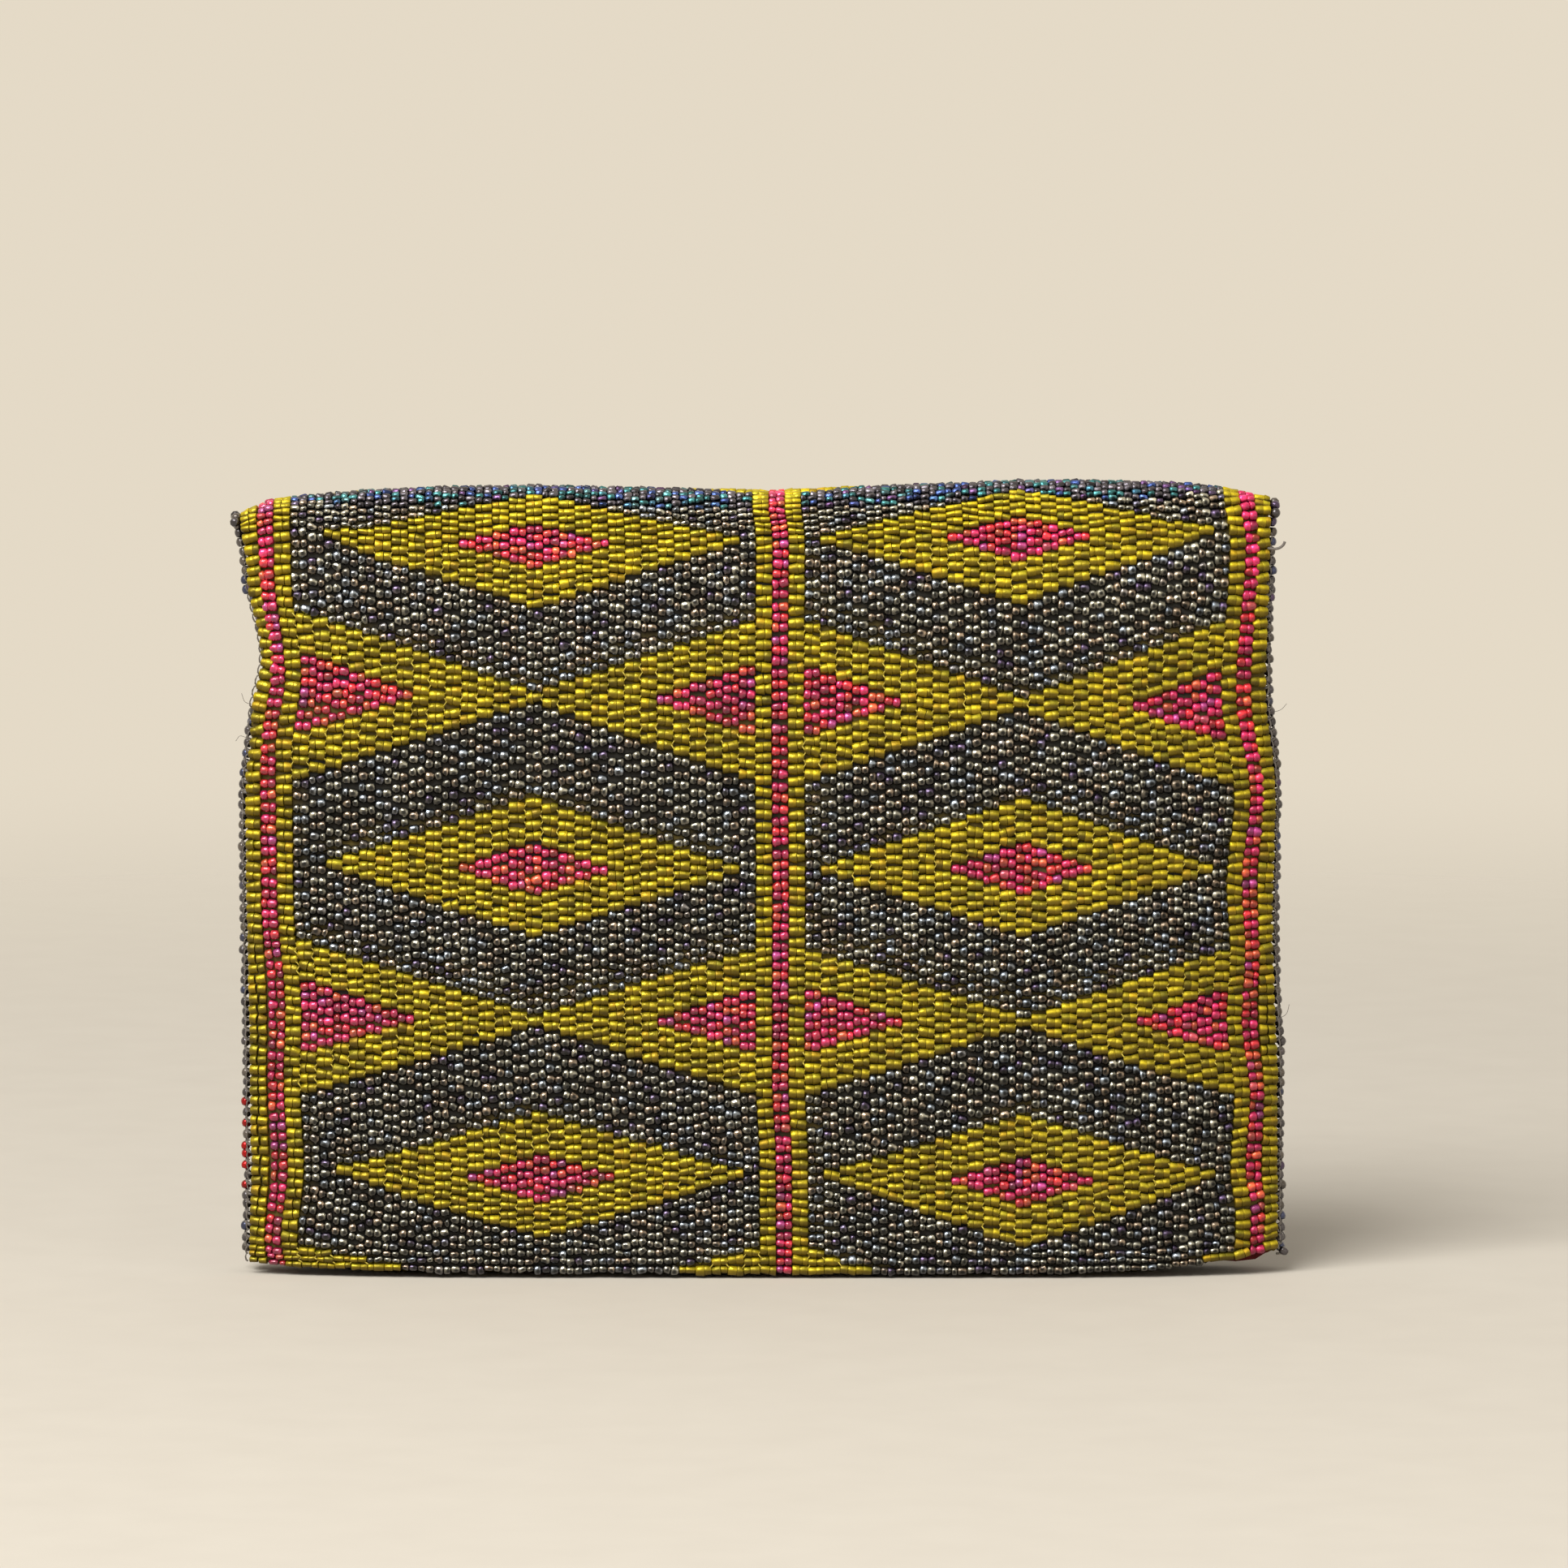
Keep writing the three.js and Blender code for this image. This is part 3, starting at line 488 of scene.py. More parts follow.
def math_node(tree, operation, *values):
    """Maths on outputs or plain numbers."""
    return add_node(tree, "ShaderNodeMath", enumerate(values), operation=operation).outputs[0]


def arithmetic(tree):
    """Sum, difference and product of outputs or plain numbers in a tree."""
    return (partial(math_node, tree, operation) for operation in ("ADD", "SUBTRACT", "MULTIPLY"))


def mix_colour(tree, share, first, second, blend="MIX"):
    """A mix of two colours, given as outputs or plain values."""
    return add_node(tree, "ShaderNodeMix", {0: share, 6: first, 7: second}, data_type="RGBA",
                    blend_type=blend, clamp_factor=True).outputs[2]


def between(tree, value, low, high):
    """Smooth step of a value from nothing at low to one at high."""
    return add_node(tree, "ShaderNodeMapRange", {0: value, 1: low, 2: high},
                    interpolation_type="SMOOTHSTEP").outputs[0]


def noise(tree, scale, detail, place=None):
    """Noise over a map, or else over the object's own coordinates, its scale in waves a metre."""
    if place is None:
        place = add_node(tree, "ShaderNodeTexCoord").outputs["Object"]
    sockets = {"Vector": place, "Scale": scale, "Detail": detail}
    return add_node(tree, "ShaderNodeTexNoise", sockets).outputs[0]


def relief(tree, height, strength, distance):
    """Normals of a surface raised by a height of so many metres."""
    return add_node(tree, "ShaderNodeBump",
                    {"Height": height, "Strength": strength, "Distance": distance}).outputs[0]


bead_glass, given, result = new_group("bead_glass", GLASS_COLOURS, GLASS_VALUES,
                                      ("Roughness", "Coat", "Height"))
maths = partial(math_node, bead_glass)
plus, minus, times = arithmetic(bead_glass)
tint, shade, flank, worn = (add_node(bead_glass, "ShaderNodeAttribute", attribute_name=key).outputs["Fac"]
                            for key in ("tint", "shade", "flank", "worn"))


def own_value(turns):
    """A value of each bead's own, from nothing to one: what a multiple of its tint leaves over."""
    return maths("FRACT", times(tint, turns))


bead_map = add_node(bead_glass, "ShaderNodeUVMap", uv_map="bead").outputs[0]
across, up = add_node(bead_glass, "ShaderNodeSeparateXYZ", {0: bead_map}).outputs[:2]
beside = times(minus(across, 0.5), CORE_WIDE)
above = maths("SINE", times(minus(up, 0.5), math.radians(BEAD_ARC)))
squares = []
for offset, (turns, aside) in zip((beside, above), CORE_DRIFTS):
    drift = plus(times(minus(own_value(turns), 0.5), CORE_DRIFT), aside)
    squares.append(maths("POWER", maths("ABSOLUTE", plus(offset, drift)), 2.0))
# Painted reflection: the middle of each bead is darkened where it would mirror dark surroundings, leaving a
# lighter ring.
painted_core_reflection = between(bead_glass, maths("SQRT", plus(*squares)), *CORE_EDGE)
# Painted shade: each bead's lower side goes over to a darker colour, as though lit from above.
low = between(bead_glass, minus(above, given["Painted lower edge"]), LOW_SOFT, -LOW_SOFT)
colour = given["Body"]
for key, step in TINT_STEPS.items():
    colour = mix_colour(bead_glass, between(bead_glass, tint, *step), colour, given[key])
colour = mix_colour(bead_glass, times(low, given["Painted lower share"]), colour, given["Painted lower shade"])
bright = shade
# Painted reflection in each bead's core and painted shade on its flanks darken it.
for mask, depth in ((painted_core_reflection, "Core painted reflection"), (flank, "Painted flank shade")):
    bright = times(bright, minus(1.0, times(mask, given[depth])))
cloud = times(noise(bead_glass, *CLOUD_NOISE), CLOUD_DEPTH)
bright = times(bright, plus(cloud, 1 - CLOUD_DEPTH / 2))
grey = add_node(bead_glass, "ShaderNodeCombineColor", dict.fromkeys(range(3), bright)).outputs[0]
gloss = add_node(bead_glass, "ShaderNodeMapRange",
                 {0: own_value(GLOSS_TURNS), 3: given["Smooth"], 4: given["Dull"]}).outputs[0]
unworn = minus(1.0, times(worn, WORN_COAT_LOSS))
feed(bead_glass, result, {
    "Color": mix_colour(bead_glass, 1.0, colour, grey, "MULTIPLY"),
    "Roughness": plus(gloss, times(worn, WORN_ROUGHER)),
    "Coat": times(given["Coat"], unworn),
    "Height": noise(bead_glass, *UNEVEN_NOISE),
})


def bead_material(name, colours, dark, roughness, metallic, coat, low=(0, 0, 0, 0, 0)):
    """A bead finish: the glass group's colour, roughness and coat on a shader with plain metallic. Dark gives
    how far the painted reflection in the core and the painted shade on the flanks darken, low the colour of
    the painted shade on the lower side, its share and where it begins."""
    material, tree, shader = new_material(name)
    sockets = {key: (*value, 1) for key, value in zip(GLASS_COLOURS, (*colours, low[:3]))}
    sockets.update(zip(GLASS_VALUES, (*low[3:], *dark, *roughness, coat)))
    glass = add_node(tree, "ShaderNodeGroup", sockets, node_tree=bead_glass).outputs
    feed(tree, shader, {
        "Base Color": glass["Color"], "Roughness": glass["Roughness"], "Metallic": metallic,
        "Coat Weight": glass["Coat"], "Coat Roughness": COAT_ROUGHNESS,
        "Normal": relief(tree, glass["Height"], 1.0, UNEVEN_HEIGHT),
    })
    return material


black_glass = bead_material(
    "black_bead_glass",
    ((0.36, 0.345, 0.275), (0.31, 0.235, 0.165), (0.27, 0.31, 0.36), (0.085, 0.058, 0.115)),
    dark=(0.94, 0.62), roughness=(0.10, 0.26), metallic=0.92, coat=0.8, low=(0.06, 0.055, 0.05, 0.75, 0))
olive_glass = bead_material(
    "olive_bead_glass",
    ((0.53, 0.41, 0.008), (0.585, 0.45, 0.008), (0.435, 0.365, 0.010), (0.565, 0.37, 0.010)),
    dark=(0.12, 0.45), roughness=(0.33, 0.52), metallic=0.55, coat=0.04, low=(0.16, 0.105, 0.005, 0.9, 0.2))
pink_glass = bead_material(
    "pink_bead_glass",
    ((0.80, 0.029, 0.145), (0.87, 0.035, 0.049), (0.93, 0.15, 0.054), (0.56, 0.062, 0.28)),
    dark=(0.35, 0.6), roughness=(0.10, 0.26), metallic=0.35, coat=1.0, low=(0.24, 0.008, 0.040, 0.6, 0))


# Flap beads. The flap hangs from the top roll over the front; its black beads are rounder and its olive ones
# more even, so that a pair of them reads as one short bar. Finishes give code, form, glass, girth, looseness.
ROUND_BEAD = bead_form(5, ((-0.5, 0.73), (-0.31, 0.98), (0.31, 0.98), (0.5, 0.73)), 1.0)
BAR_BEAD = bead_form(5, ((-0.5, 0.86), (-0.43, 1.0), (0.47, 1.0), (0.5, 0.97)), 1.4, crisp=True)
BAR_GIRTH = 1.03
FINISHES = {
    "black": (BLACK, ROUND_BEAD, black_glass, BEAD_GIRTH, 1.6),
    "olive": (OLIVE, BAR_BEAD, olive_glass, BAR_GIRTH, 1.0),
    "pink": (PINK, ROUND_BEAD, pink_glass, BEAD_GIRTH, 1.3),
}
FLAP_NODES = {
    "black": ("black_hexagon_middle_{}", "black_hexagon_bottom_{}", "black_chevron_top_{}"),
    "olive": ("olive_diamond_middle_{}", "olive_diamond_bottom_{}", "olive_chevron_top_{}", "olive_ground_{}",
              "olive_edge_{}"),
    "pink": ("pink_lozenge_middle_{}", "pink_lozenge_bottom_{}", "pink_wedge_top_{}", "pink_stripe_{}",
             "pink_triangle_upper_{}_outer", "pink_triangle_upper_{}_inner", "pink_triangle_lower_{}_outer",
             "pink_triangle_lower_{}_inner"),
}
in_left = (bead_column < MIDDLE_COLUMN)[:, None]
for hue, (code, form, material, girth, loose) in FINISHES.items():
    for side, half in (("left", in_left), ("right", ~in_left)):
        chosen = on_flap & half & (bead_colour == code)
        piece = put_beads(f"{hue}_flap_beads_{side}", material, chosen, form, girth, loose)
        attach(piece, "flap")
        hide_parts(*(node.format(side) for node in FLAP_NODES[hue]))
        if (hue, side) == ("pink", "right"):
            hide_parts("pink_stripe_middle")


# Top roll beads. The same strip turns over the top to the back. On its crown the black beads take teal, blue
# and violet colours: a painted iris sheen, the colour their coat shows at a grazing view.
ROLL_NODES = ("{}_roll_left", "{}_roll_right")
IRIS_ROW = 34.5


def bend(piece):
    """Leaves a piece of the roll where it lies, its placing baked into its points: it follows neither the
    pouch nor the flap."""
    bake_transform(piece)


# Painted sheen: the iris coat's grazing-view colours put into the base colour of the crown's black beads.
painted_iris_sheen_glass = bead_material(
    "painted_iris_sheen_bead_glass",
    ((0.105, 0.095, 0.11), (0.050, 0.19, 0.20), (0.050, 0.085, 0.26), (0.14, 0.070, 0.18)),
    dark=(0.9, 0.6), roughness=(0.16, 0.34), metallic=0.92, coat=0.25, low=(0.03, 0.03, 0.05, 0.6, 0))
ROLLS = (*((name, "roll_beads", *finish) for name, finish in FINISHES.items()),
         ("black", "iris_beads", BLACK, ROUND_BEAD, painted_iris_sheen_glass, *FINISHES["black"][3:]))
for hue, label, code, form, material, girth, loose in ROLLS:
    chosen = on_roll & (bead_colour == code)
    if code == BLACK:
        chosen &= (bead_row > IRIS_ROW) == (material is painted_iris_sheen_glass)
    piece = put_beads(f"{hue}_{label}", material, chosen, form, girth, loose)
    bend(piece)
    if material is painted_iris_sheen_glass:
        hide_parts("top_roll_beadwork")
    else:
        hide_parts(*(node.format(hue) for node in ROLL_NODES))


# Pocket beads. Down the back, round the base and up behind the flap the strip goes on in the same pattern,
# and the side seams close it to a pocket.
BACK_BEAD = bead_form(4, ((-0.5, 0.66), (0.0, 1.0), (0.5, 0.66)), 0.8)
INNER_BEAD = bead_form(3, ((-0.5, 0.7), (0.0, 1.0), (0.5, 0.7)), 0.8)
for panel, where, form in (("back", on_back, BACK_BEAD), ("inner_front", on_inside, INNER_BEAD)):
    for hue, (code, _, material, *_) in FINISHES.items():
        chosen = where & (bead_colour == code)
        piece = put_beads(f"{hue}_{panel}_beads", material, chosen, form)
        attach(piece, "pouch")
        if (panel, hue) == ("back", "black"):
            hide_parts("pocket_beadwork")


# Thread bed. The waxed sewing thread runs through every bead and from row to row, and lies as a net in the
# middle of the bead layer, where it closes the gaps between beads; its darkness is partly the thread's own
# and partly painted shade in the gaps, and under the olive beads, where the thread is gold, it is a shaded
# brown.
BED_DEPTH, BED_THICK = 1.15, 0.3
BED_ACROSS, BED_SIDE, BED_HEM = 33, 0.5, 0.6
BED_NOISE, BED_ROUGHNESS = (1400.0, 3.0), 0.85


def closed_sheet(name, material, x, first, last, steps, inset, thick):
    """Cloth with its thickness: a grid of x and of even measures from first to last at two depths, one facing
    out and one in, joined round the rim. Its map is in metres, and its points say if they lie under olive."""
    measures = np.linspace(first + 0 * x, last + 0 * x, steps, axis=1)
    outer, inner = (strip_point(x, measures, d).reshape(-1, 3) for d in (inset, inset + thick))
    n, m = measures.shape
    top = grid_quads(n, m, closed=False)
    rim = np.concatenate([np.arange(n) * m, (n - 1) * m + np.arange(1, m),
                          (n - 2 - np.arange(n - 1)) * m + m - 1, m - 2 - np.arange(m - 2)])
    after = np.roll(rim, -1)
    wall = np.stack([after, rim, rim + n * m, after + n * m], -1)
    faces = np.concatenate([top, top[:, ::-1] + n * m, wall])
    lay = np.stack(np.broadcast_arrays(x[:, None], measures), -1).reshape(-1, 2) * MM
    column = np.clip(((x + HALF_WIDTH) / COLUMN_WIDTH).astype(int), 0, COLUMNS - 1)[:, None]
    olive = field_colour(column + 0 * measures.astype(int), LOWEST_ROW + measures / ROW_HEIGHT) == OLIVE
    return put_mesh(name, material, np.concatenate([outer, inner]), faces,
                    (("olive", np.tile(olive.ravel(), 2)),), (("cloth", np.concatenate([lay, lay])),))


def edge_measure(x):
    """Where the flap's lower edge lies along the strip."""
    return row_measure(lowest_row((x + HALF_WIDTH) / COLUMN_WIDTH), x)


thread_bed_shade, tree, shader = new_material("thread_bed_and_gap_shade")
olive = add_node(tree, "ShaderNodeAttribute", attribute_name="olive").outputs["Fac"]
# Painted shade: the net is near black in the gaps between beads, and dark brown under the olive beads.
low = mix_colour(tree, olive, (0.006, 0.005, 0.004, 1), (0.070, 0.048, 0.006, 1))
high = mix_colour(tree, olive, (0.026, 0.023, 0.016, 1), (0.15, 0.107, 0.016, 1))
feed(tree, shader, {"Base Color": mix_colour(tree, noise(tree, *BED_NOISE), low, high),
                    "Roughness": BED_ROUGHNESS})

bed_x = np.linspace(-HALF_WIDTH + BED_SIDE, HALF_WIDTH - BED_SIDE, BED_ACROSS)
bed_section = strip_section(bed_x, BED_DEPTH)[0]
bed_roll_end, bed_end = bed_section[:, ROLL_END], bed_section[:, -1]
BEDS = (("flap", "flap", edge_measure(bed_x) + BED_HEM, FLAP_LENGTH, 60),
        ("roll", None, FLAP_LENGTH, bed_roll_end, 20),
        ("pocket", "pouch", bed_roll_end, bed_end - BED_HEM, 70))
for panel, body, first, last, steps in BEDS:
    piece = closed_sheet(f"thread_bed_{panel}", thread_bed_shade, bed_x, first, last, steps, BED_DEPTH, BED_THICK)
    if body:
        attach(piece, body)
    else:
        bend(piece)


# Gold thread. Between olive pairs the thread is gold and shows: it leaves one pair and goes up half a row
# into the next column's pair, to and fro, and draws fine slanting lines over the olive ground.
GOLD_RADIUS, GOLD_REACH, GOLD_DEPTH, GOLD_SIDES = 0.14, 0.36, 0.30, 3
FIBRE_NOISE, FIBRE_RELIEF, FIBRE_ROUGHNESS = (2600.0, 3.0), (0.6, 0.0001), 0.6
THREAD_ASKEW = (0.31, 0.2, 0.93)
half_steps = np.arange(2 * ROWS_ON_FLAP - 1)
seams = np.arange(1, COLUMNS)[:, None]
level = LOWEST_ROW + EARLY_START + 0.5 * half_steps + 0 * seams
before = (np.abs(seams - 1 - MIDDLE_COLUMN) % 2 == 0) == (half_steps % 2 == 0)
seam_x = seams * COLUMN_WIDTH - HALF_WIDTH
gold_line = strip_point(seam_x[:, 0], row_measure(level, seam_x), GOLD_DEPTH)
gold_line[..., 0] += np.where(before, -1, 1) * GOLD_REACH
in_olive = field_colour(np.where(before, seams - 1, seams), level) == OLIVE
stitched = in_olive[:, :-1] & in_olive[:, 1:] & (level[:, :-1] > lowest_row(seams) + 0.5)
gold_path = np.stack([gold_line[:, :-1][stitched], gold_line[:, 1:][stitched]], 1)


def rings_about(axes, askew, sides):
    """Directions all round each axis and square to it, counted from one that is square to askew as well."""
    first = unit(np.cross(axes, askew))[..., None, :]
    second = np.cross(axes, first[..., 0, :])[..., None, :]
    angle = np.linspace(0, 2 * np.pi, sides, endpoint=False)[:, None]
    return first * np.cos(angle) + second * np.sin(angle)


def ring_faces(count, rings, sides):
    """Faces of like pieces, one after another, each a row of rings: walls from ring to ring, then all their
    first ends and all their last ends."""
    start, ring = np.arange(count)[:, None] * rings * sides, np.arange(sides)
    walls = start[:, :, None] + grid_quads(rings, sides)[:, [0, 3, 2, 1]]
    return [*walls.reshape(-1, 4), *(start + ring[::-1]), *(start + (rings - 1) * sides + ring)]


def tubes(paths, radius, sides):
    """Threads: a ring of points carried along each path, square to it, with both ends closed. Paths are an
    array of threads, points and coordinates."""
    forward = unit(np.gradient(paths, axis=1))
    points = paths[:, :, None] + rings_about(forward, THREAD_ASKEW, sides) * radius
    return points.reshape(-1, 3), ring_faces(*paths.shape[:2], sides)


def thread_material(name, low, high):
    """Twisted thread: fibres as fine noise between two colours, raised a little."""
    material, tree, shader = new_material(name)
    fibre = noise(tree, *FIBRE_NOISE)
    feed(tree, shader, {"Base Color": mix_colour(tree, fibre, (*low, 1), (*high, 1)),
                        "Roughness": FIBRE_ROUGHNESS, "Normal": relief(tree, fibre, *FIBRE_RELIEF)})
    return material


gold_thread = thread_material("gold_thread", (0.42, 0.31, 0.02), (0.80, 0.64, 0.10))
piece = put_mesh("gold_thread_flap", gold_thread, *tubes(gold_path, GOLD_RADIUS, GOLD_SIDES))
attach(piece, "flap")


# Linings. Dark red plain-woven cotton, cut to the strip and hemmed onto it by hand: one piece under the flap,
# one under the roll and one round the inside of the pocket. It peeps out below the flap's right lower corner.
THREAD_PITCH = 0.00042
SLUB_NOISE, SLUB_DEPTH = (420.0, 3.0), 0.8
CLOTH_ROUGHNESS, CLOTH_SHEEN, CLOTH_RELIEF = 0.82, 0.15, (0.5, 0.0003)
HEM, EDGE_HEM, MOUTH_HEM = 1.2, 0.8, 0.3
LINING_ACROSS = 51
LINING_DEPTH = BEAD_LAYER + LINING_GAP
ROLL_LINING_LENGTH, POCKET_LINING_LENGTH = 33.0, 280.0
DROOP, DROOP_X, DROOP_WIDTH = 2.0, 95.5, 6.5

weave, given, result = new_group("plain_weave", ("Thread", "Hollow shade"), ("Pitch",), ("Height",))
plus, minus, times = arithmetic(weave)
lay = add_node(weave, "ShaderNodeUVMap", uv_map="cloth").outputs[0]
turns = math_node(weave, "DIVIDE", 2 * math.pi, given["Pitch"])
warp, weft = (math_node(weave, "SINE", times(way, turns))
              for way in add_node(weave, "ShaderNodeSeparateXYZ", {0: lay}).outputs[:2])
crossing = times(times(warp, weft), 0.5)
slub = times(minus(noise(weave, *SLUB_NOISE, lay), 0.5), SLUB_DEPTH)
height = plus(plus(crossing, 0.5), slub)
# Painted shade: the hollows between the crossing threads are darker.
feed(weave, result, {"Color": mix_colour(weave, height, given["Hollow shade"], given["Thread"]), "Height": height})

red_cloth, tree, shader = new_material("dark_red_cotton")
cloth = add_node(tree, "ShaderNodeGroup", {
    "Thread": (0.105, 0.006, 0.006, 1), "Hollow shade": (0.036, 0.003, 0.003, 1), "Pitch": THREAD_PITCH,
}, node_tree=weave).outputs
feed(tree, shader, {
    "Base Color": cloth["Color"], "Roughness": CLOTH_ROUGHNESS, "Specular IOR Level": CLOTH_SHEEN,
    "Normal": relief(tree, cloth["Height"], *CLOTH_RELIEF),
})

lining_x = np.linspace(-HALF_WIDTH + HEM, HALF_WIDTH - HEM, LINING_ACROSS)
droop = DROOP * np.exp(-((lining_x - DROOP_X) / DROOP_WIDTH) ** 2)
lining_edge = edge_measure(lining_x) + EDGE_HEM - droop
lining_section = strip_section(lining_x, LINING_DEPTH)[0]
mouth = lining_section[:, ROLL_END] + (FOLD_AXIS - POCKET_TOP)
LININGS = (
    ("flap_lining_cloth", "flap", lining_edge, FLAP_LENGTH, 40, FLAP_LENGTH - EDGE_HEM,
     "flap_lining", "black_flap_beads_left"),
    ("roll_lining_cloth", None, FLAP_LENGTH, mouth, 24, ROLL_LINING_LENGTH,
     "top_roll_lining", "black_roll_beads"),
    ("pocket_lining_cloth", "pouch", mouth, lining_section[:, -1] - MOUTH_HEM, 72, POCKET_LINING_LENGTH,
     "pocket_lining", "black_back_beads"),
)
for name, body, first, last, steps, length, node, carrier in LININGS:
    piece = closed_sheet(name, red_cloth, lining_x, first, last, steps, LINING_DEPTH, LINING_THICK)
    if body:
        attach(piece, body)
    else:
        bend(piece)
    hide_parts(node)


# Side seams. Front and back are whipped together with grey thread, one stitch a row, and each stitch takes up
# one dark seed bead, so that both edges carry a row of picots; low on the left six of them are red.
PICOT_LOW, PICOT_HIGH, PICOT_COUNT = 4.6, 137.0, 65
PICOT_RADIUS, PICOT_LENGTH, PICOT_STAND_OFF = 1.02, 1.75, 0.55
PICOT_UNEVEN, PICOT_OUT_UNEVEN, PICOT_TWIST = 0.16, 0.12, 0.2
PICOT_FORWARD, PICOT_FORWARD_UNEVEN, PICOT_SPLAY = -0.4, 0.35, 0.35
PICOT_SHADES, PICOT_ROUNDING, PICOT_ASKEW = (0.7, 1.2), 0.62, (0.35, 0.1, 0.93)
RED_HEIGHTS = np.array([17.9, 20.3, 22.7, 25.6, 30.3, 34.0])
RED_RADIUS, RED_LENGTH, RED_STAND_OFF = PICOT_RADIUS * 0.95, 1.6, 0.35
STITCH_RADIUS, STITCH_SIDES, STITCH_POINTS = 0.30, 5, 7
STITCH_REACH, STITCH_INSIDE, STITCH_SHARE = 1.25, 0.4, 0.95
STITCH_RISE, STITCH_SLANT = 1.05, 0.5
SEAM_TUCK = ((108, 0), (114, 1.3), (134, 1.3), (140, 0))


def seam_line(side, z):
    """The seam of one side at given heights: the strip's edge with its wander, midway between the inner front
    and the back, leaned with them; high on the left it is drawn in behind the flap. Gives its points and
    half the gap between front and back."""
    edge = np.full(z.shape, side * HALF_WIDTH)
    front, back = front_face(edge, z), back_face(edge, z)
    y = (front + back) / 2 + SET_BACK + LEAN * z / FOLD_AXIS
    tuck = np.interp(z, *np.transpose(SEAM_TUCK)) if side < 0 else 0
    return np.stack([edge + wander(edge, z, SIDEWAYS) + tuck, y, z], -1), (back - front) / 2


def round_beads(centres, axes, radius, length, rings=5, sides=8):
    """Loose seed beads: barrels turned about their holes, rounded to their ends, with the ends closed, and
    with a tint and a shade each."""
    lean = np.linspace(-1, 1, rings)
    girth = np.sqrt(1 - PICOT_ROUNDING * lean ** 2)
    axes = unit(axes)
    points = (centres[:, None, None] + axes[:, None, None] * lean[:, None, None] * length / 2
              + rings_about(axes, PICOT_ASKEW, sides)[:, None] * girth[:, None, None] * radius)
    count, each = len(centres), rings * sides
    # The flank value puts painted shade towards each bead's ends.
    values = (("tint", np.repeat(rng.random(count), each)),
              ("shade", np.repeat(rng.uniform(*PICOT_SHADES, count), each)),
              ("flank", np.tile(np.repeat(np.abs(lean) ** 3, sides), count)))
    return points.reshape(-1, 3), ring_faces(count, rings, sides), values


def sew(piece, body="pouch"):
    """Ties beads or thread of the edges to a body of the bag."""
    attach(piece, body)
    return piece


grey_thread = thread_material("grey_thread", (0.085, 0.072, 0.060), (0.26, 0.23, 0.20))
edge_glass = bead_material(
    "edge_bead_glass",
    ((0.085, 0.075, 0.080), (0.13, 0.11, 0.095), (0.050, 0.060, 0.13), (0.10, 0.06, 0.13)),
    dark=(0.0, 0.5), roughness=(0.15, 0.35), metallic=0.8, coat=0.6)
red_glass = bead_material(
    "red_bead_glass",
    ((0.44, 0.001, 0.001), (0.50, 0.002, 0.002), (0.36, 0.001, 0.002), (0.40, 0.001, 0.002)),
    dark=(0.0, 0.5), roughness=(0.10, 0.2), metallic=0.65, coat=0.25)
sweep = np.linspace(-np.pi / 2, np.pi / 2, STITCH_POINTS)

for side, label in ((-1, "left"), (1, "right")):
    z = np.linspace(PICOT_LOW, PICOT_HIGH, PICOT_COUNT) + rng.normal(0, PICOT_UNEVEN, PICOT_COUNT)
    line, gap = seam_line(side, z)
    out = np.array([side, 0, 0.0])
    centres = line + out * (PICOT_STAND_OFF + rng.normal(0, PICOT_OUT_UNEVEN, (PICOT_COUNT, 1)))
    centres[:, 1] += rng.normal(PICOT_FORWARD, PICOT_FORWARD_UNEVEN, PICOT_COUNT)
    lie = np.stack([np.full(PICOT_COUNT, PICOT_SPLAY * side), rng.normal(0, PICOT_TWIST, PICOT_COUNT),
                    -np.ones(PICOT_COUNT)], -1)
    red = np.zeros(PICOT_COUNT, bool)
    if side < 0:
        red[np.abs(z[:, None] - RED_HEIGHTS).argmin(0)] = True
    piece = sew(put_mesh(f"picot_beads_{label}", edge_glass, *round_beads(
        centres[~red], lie[~red], PICOT_RADIUS, PICOT_LENGTH)))
    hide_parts(f"side_picot_{label}")
    if red.any():
        sew(put_mesh("red_seam_beads", red_glass, *round_beads(
            centres[red] + RED_STAND_OFF * out, lie[red], RED_RADIUS, RED_LENGTH)))
    stitch = line[:, None] + np.stack(np.broadcast_arrays(
        side * (STITCH_REACH * np.cos(sweep) - STITCH_INSIDE), np.sin(sweep) * gap[:, None] * STITCH_SHARE,
        STITCH_RISE + STITCH_SLANT * np.sin(sweep)), -1)
    sew(put_mesh(f"seam_stitches_{label}", grey_thread, *tubes(stitch, STITCH_RADIUS, STITCH_SIDES)))


# Edging above the seams. The picots run on along the strip's edges over the top roll, and at the flap's own
# edges the thread turns from row to row in small loops.
ROLL_PICOT_FROM, ROLL_PICOT_PAST, ROLL_PICOT_STEP = 3.0, 11.0, 2.05
ROLL_PICOT_OUT, ROLL_PICOT_UNEVEN, ROLL_PICOT_TWIST = 0.8, 0.12, 0.3
TURN_REACH, TURN_RADIUS, TURN_SIDES, TURN_POINTS = 0.5, 0.17, 4, 5
edge_x = np.array([-HALF_WIDTH, HALF_WIDTH])
outward = np.array([[-1], [1]])
roll_end = strip_section(edge_x)[0][0, ROLL_END]
steps = np.arange(FLAP_LENGTH + ROLL_PICOT_FROM, roll_end + ROLL_PICOT_PAST, ROLL_PICOT_STEP)
centres = strip_point(edge_x, np.stack([steps, steps]), BEAD_RADIUS)
centres[..., 0] += outward * ROLL_PICOT_OUT + rng.normal(0, ROLL_PICOT_UNEVEN, centres.shape[:2])
lie = np.gradient(centres, axis=1) + rng.normal(0, ROLL_PICOT_TWIST, centres.shape)
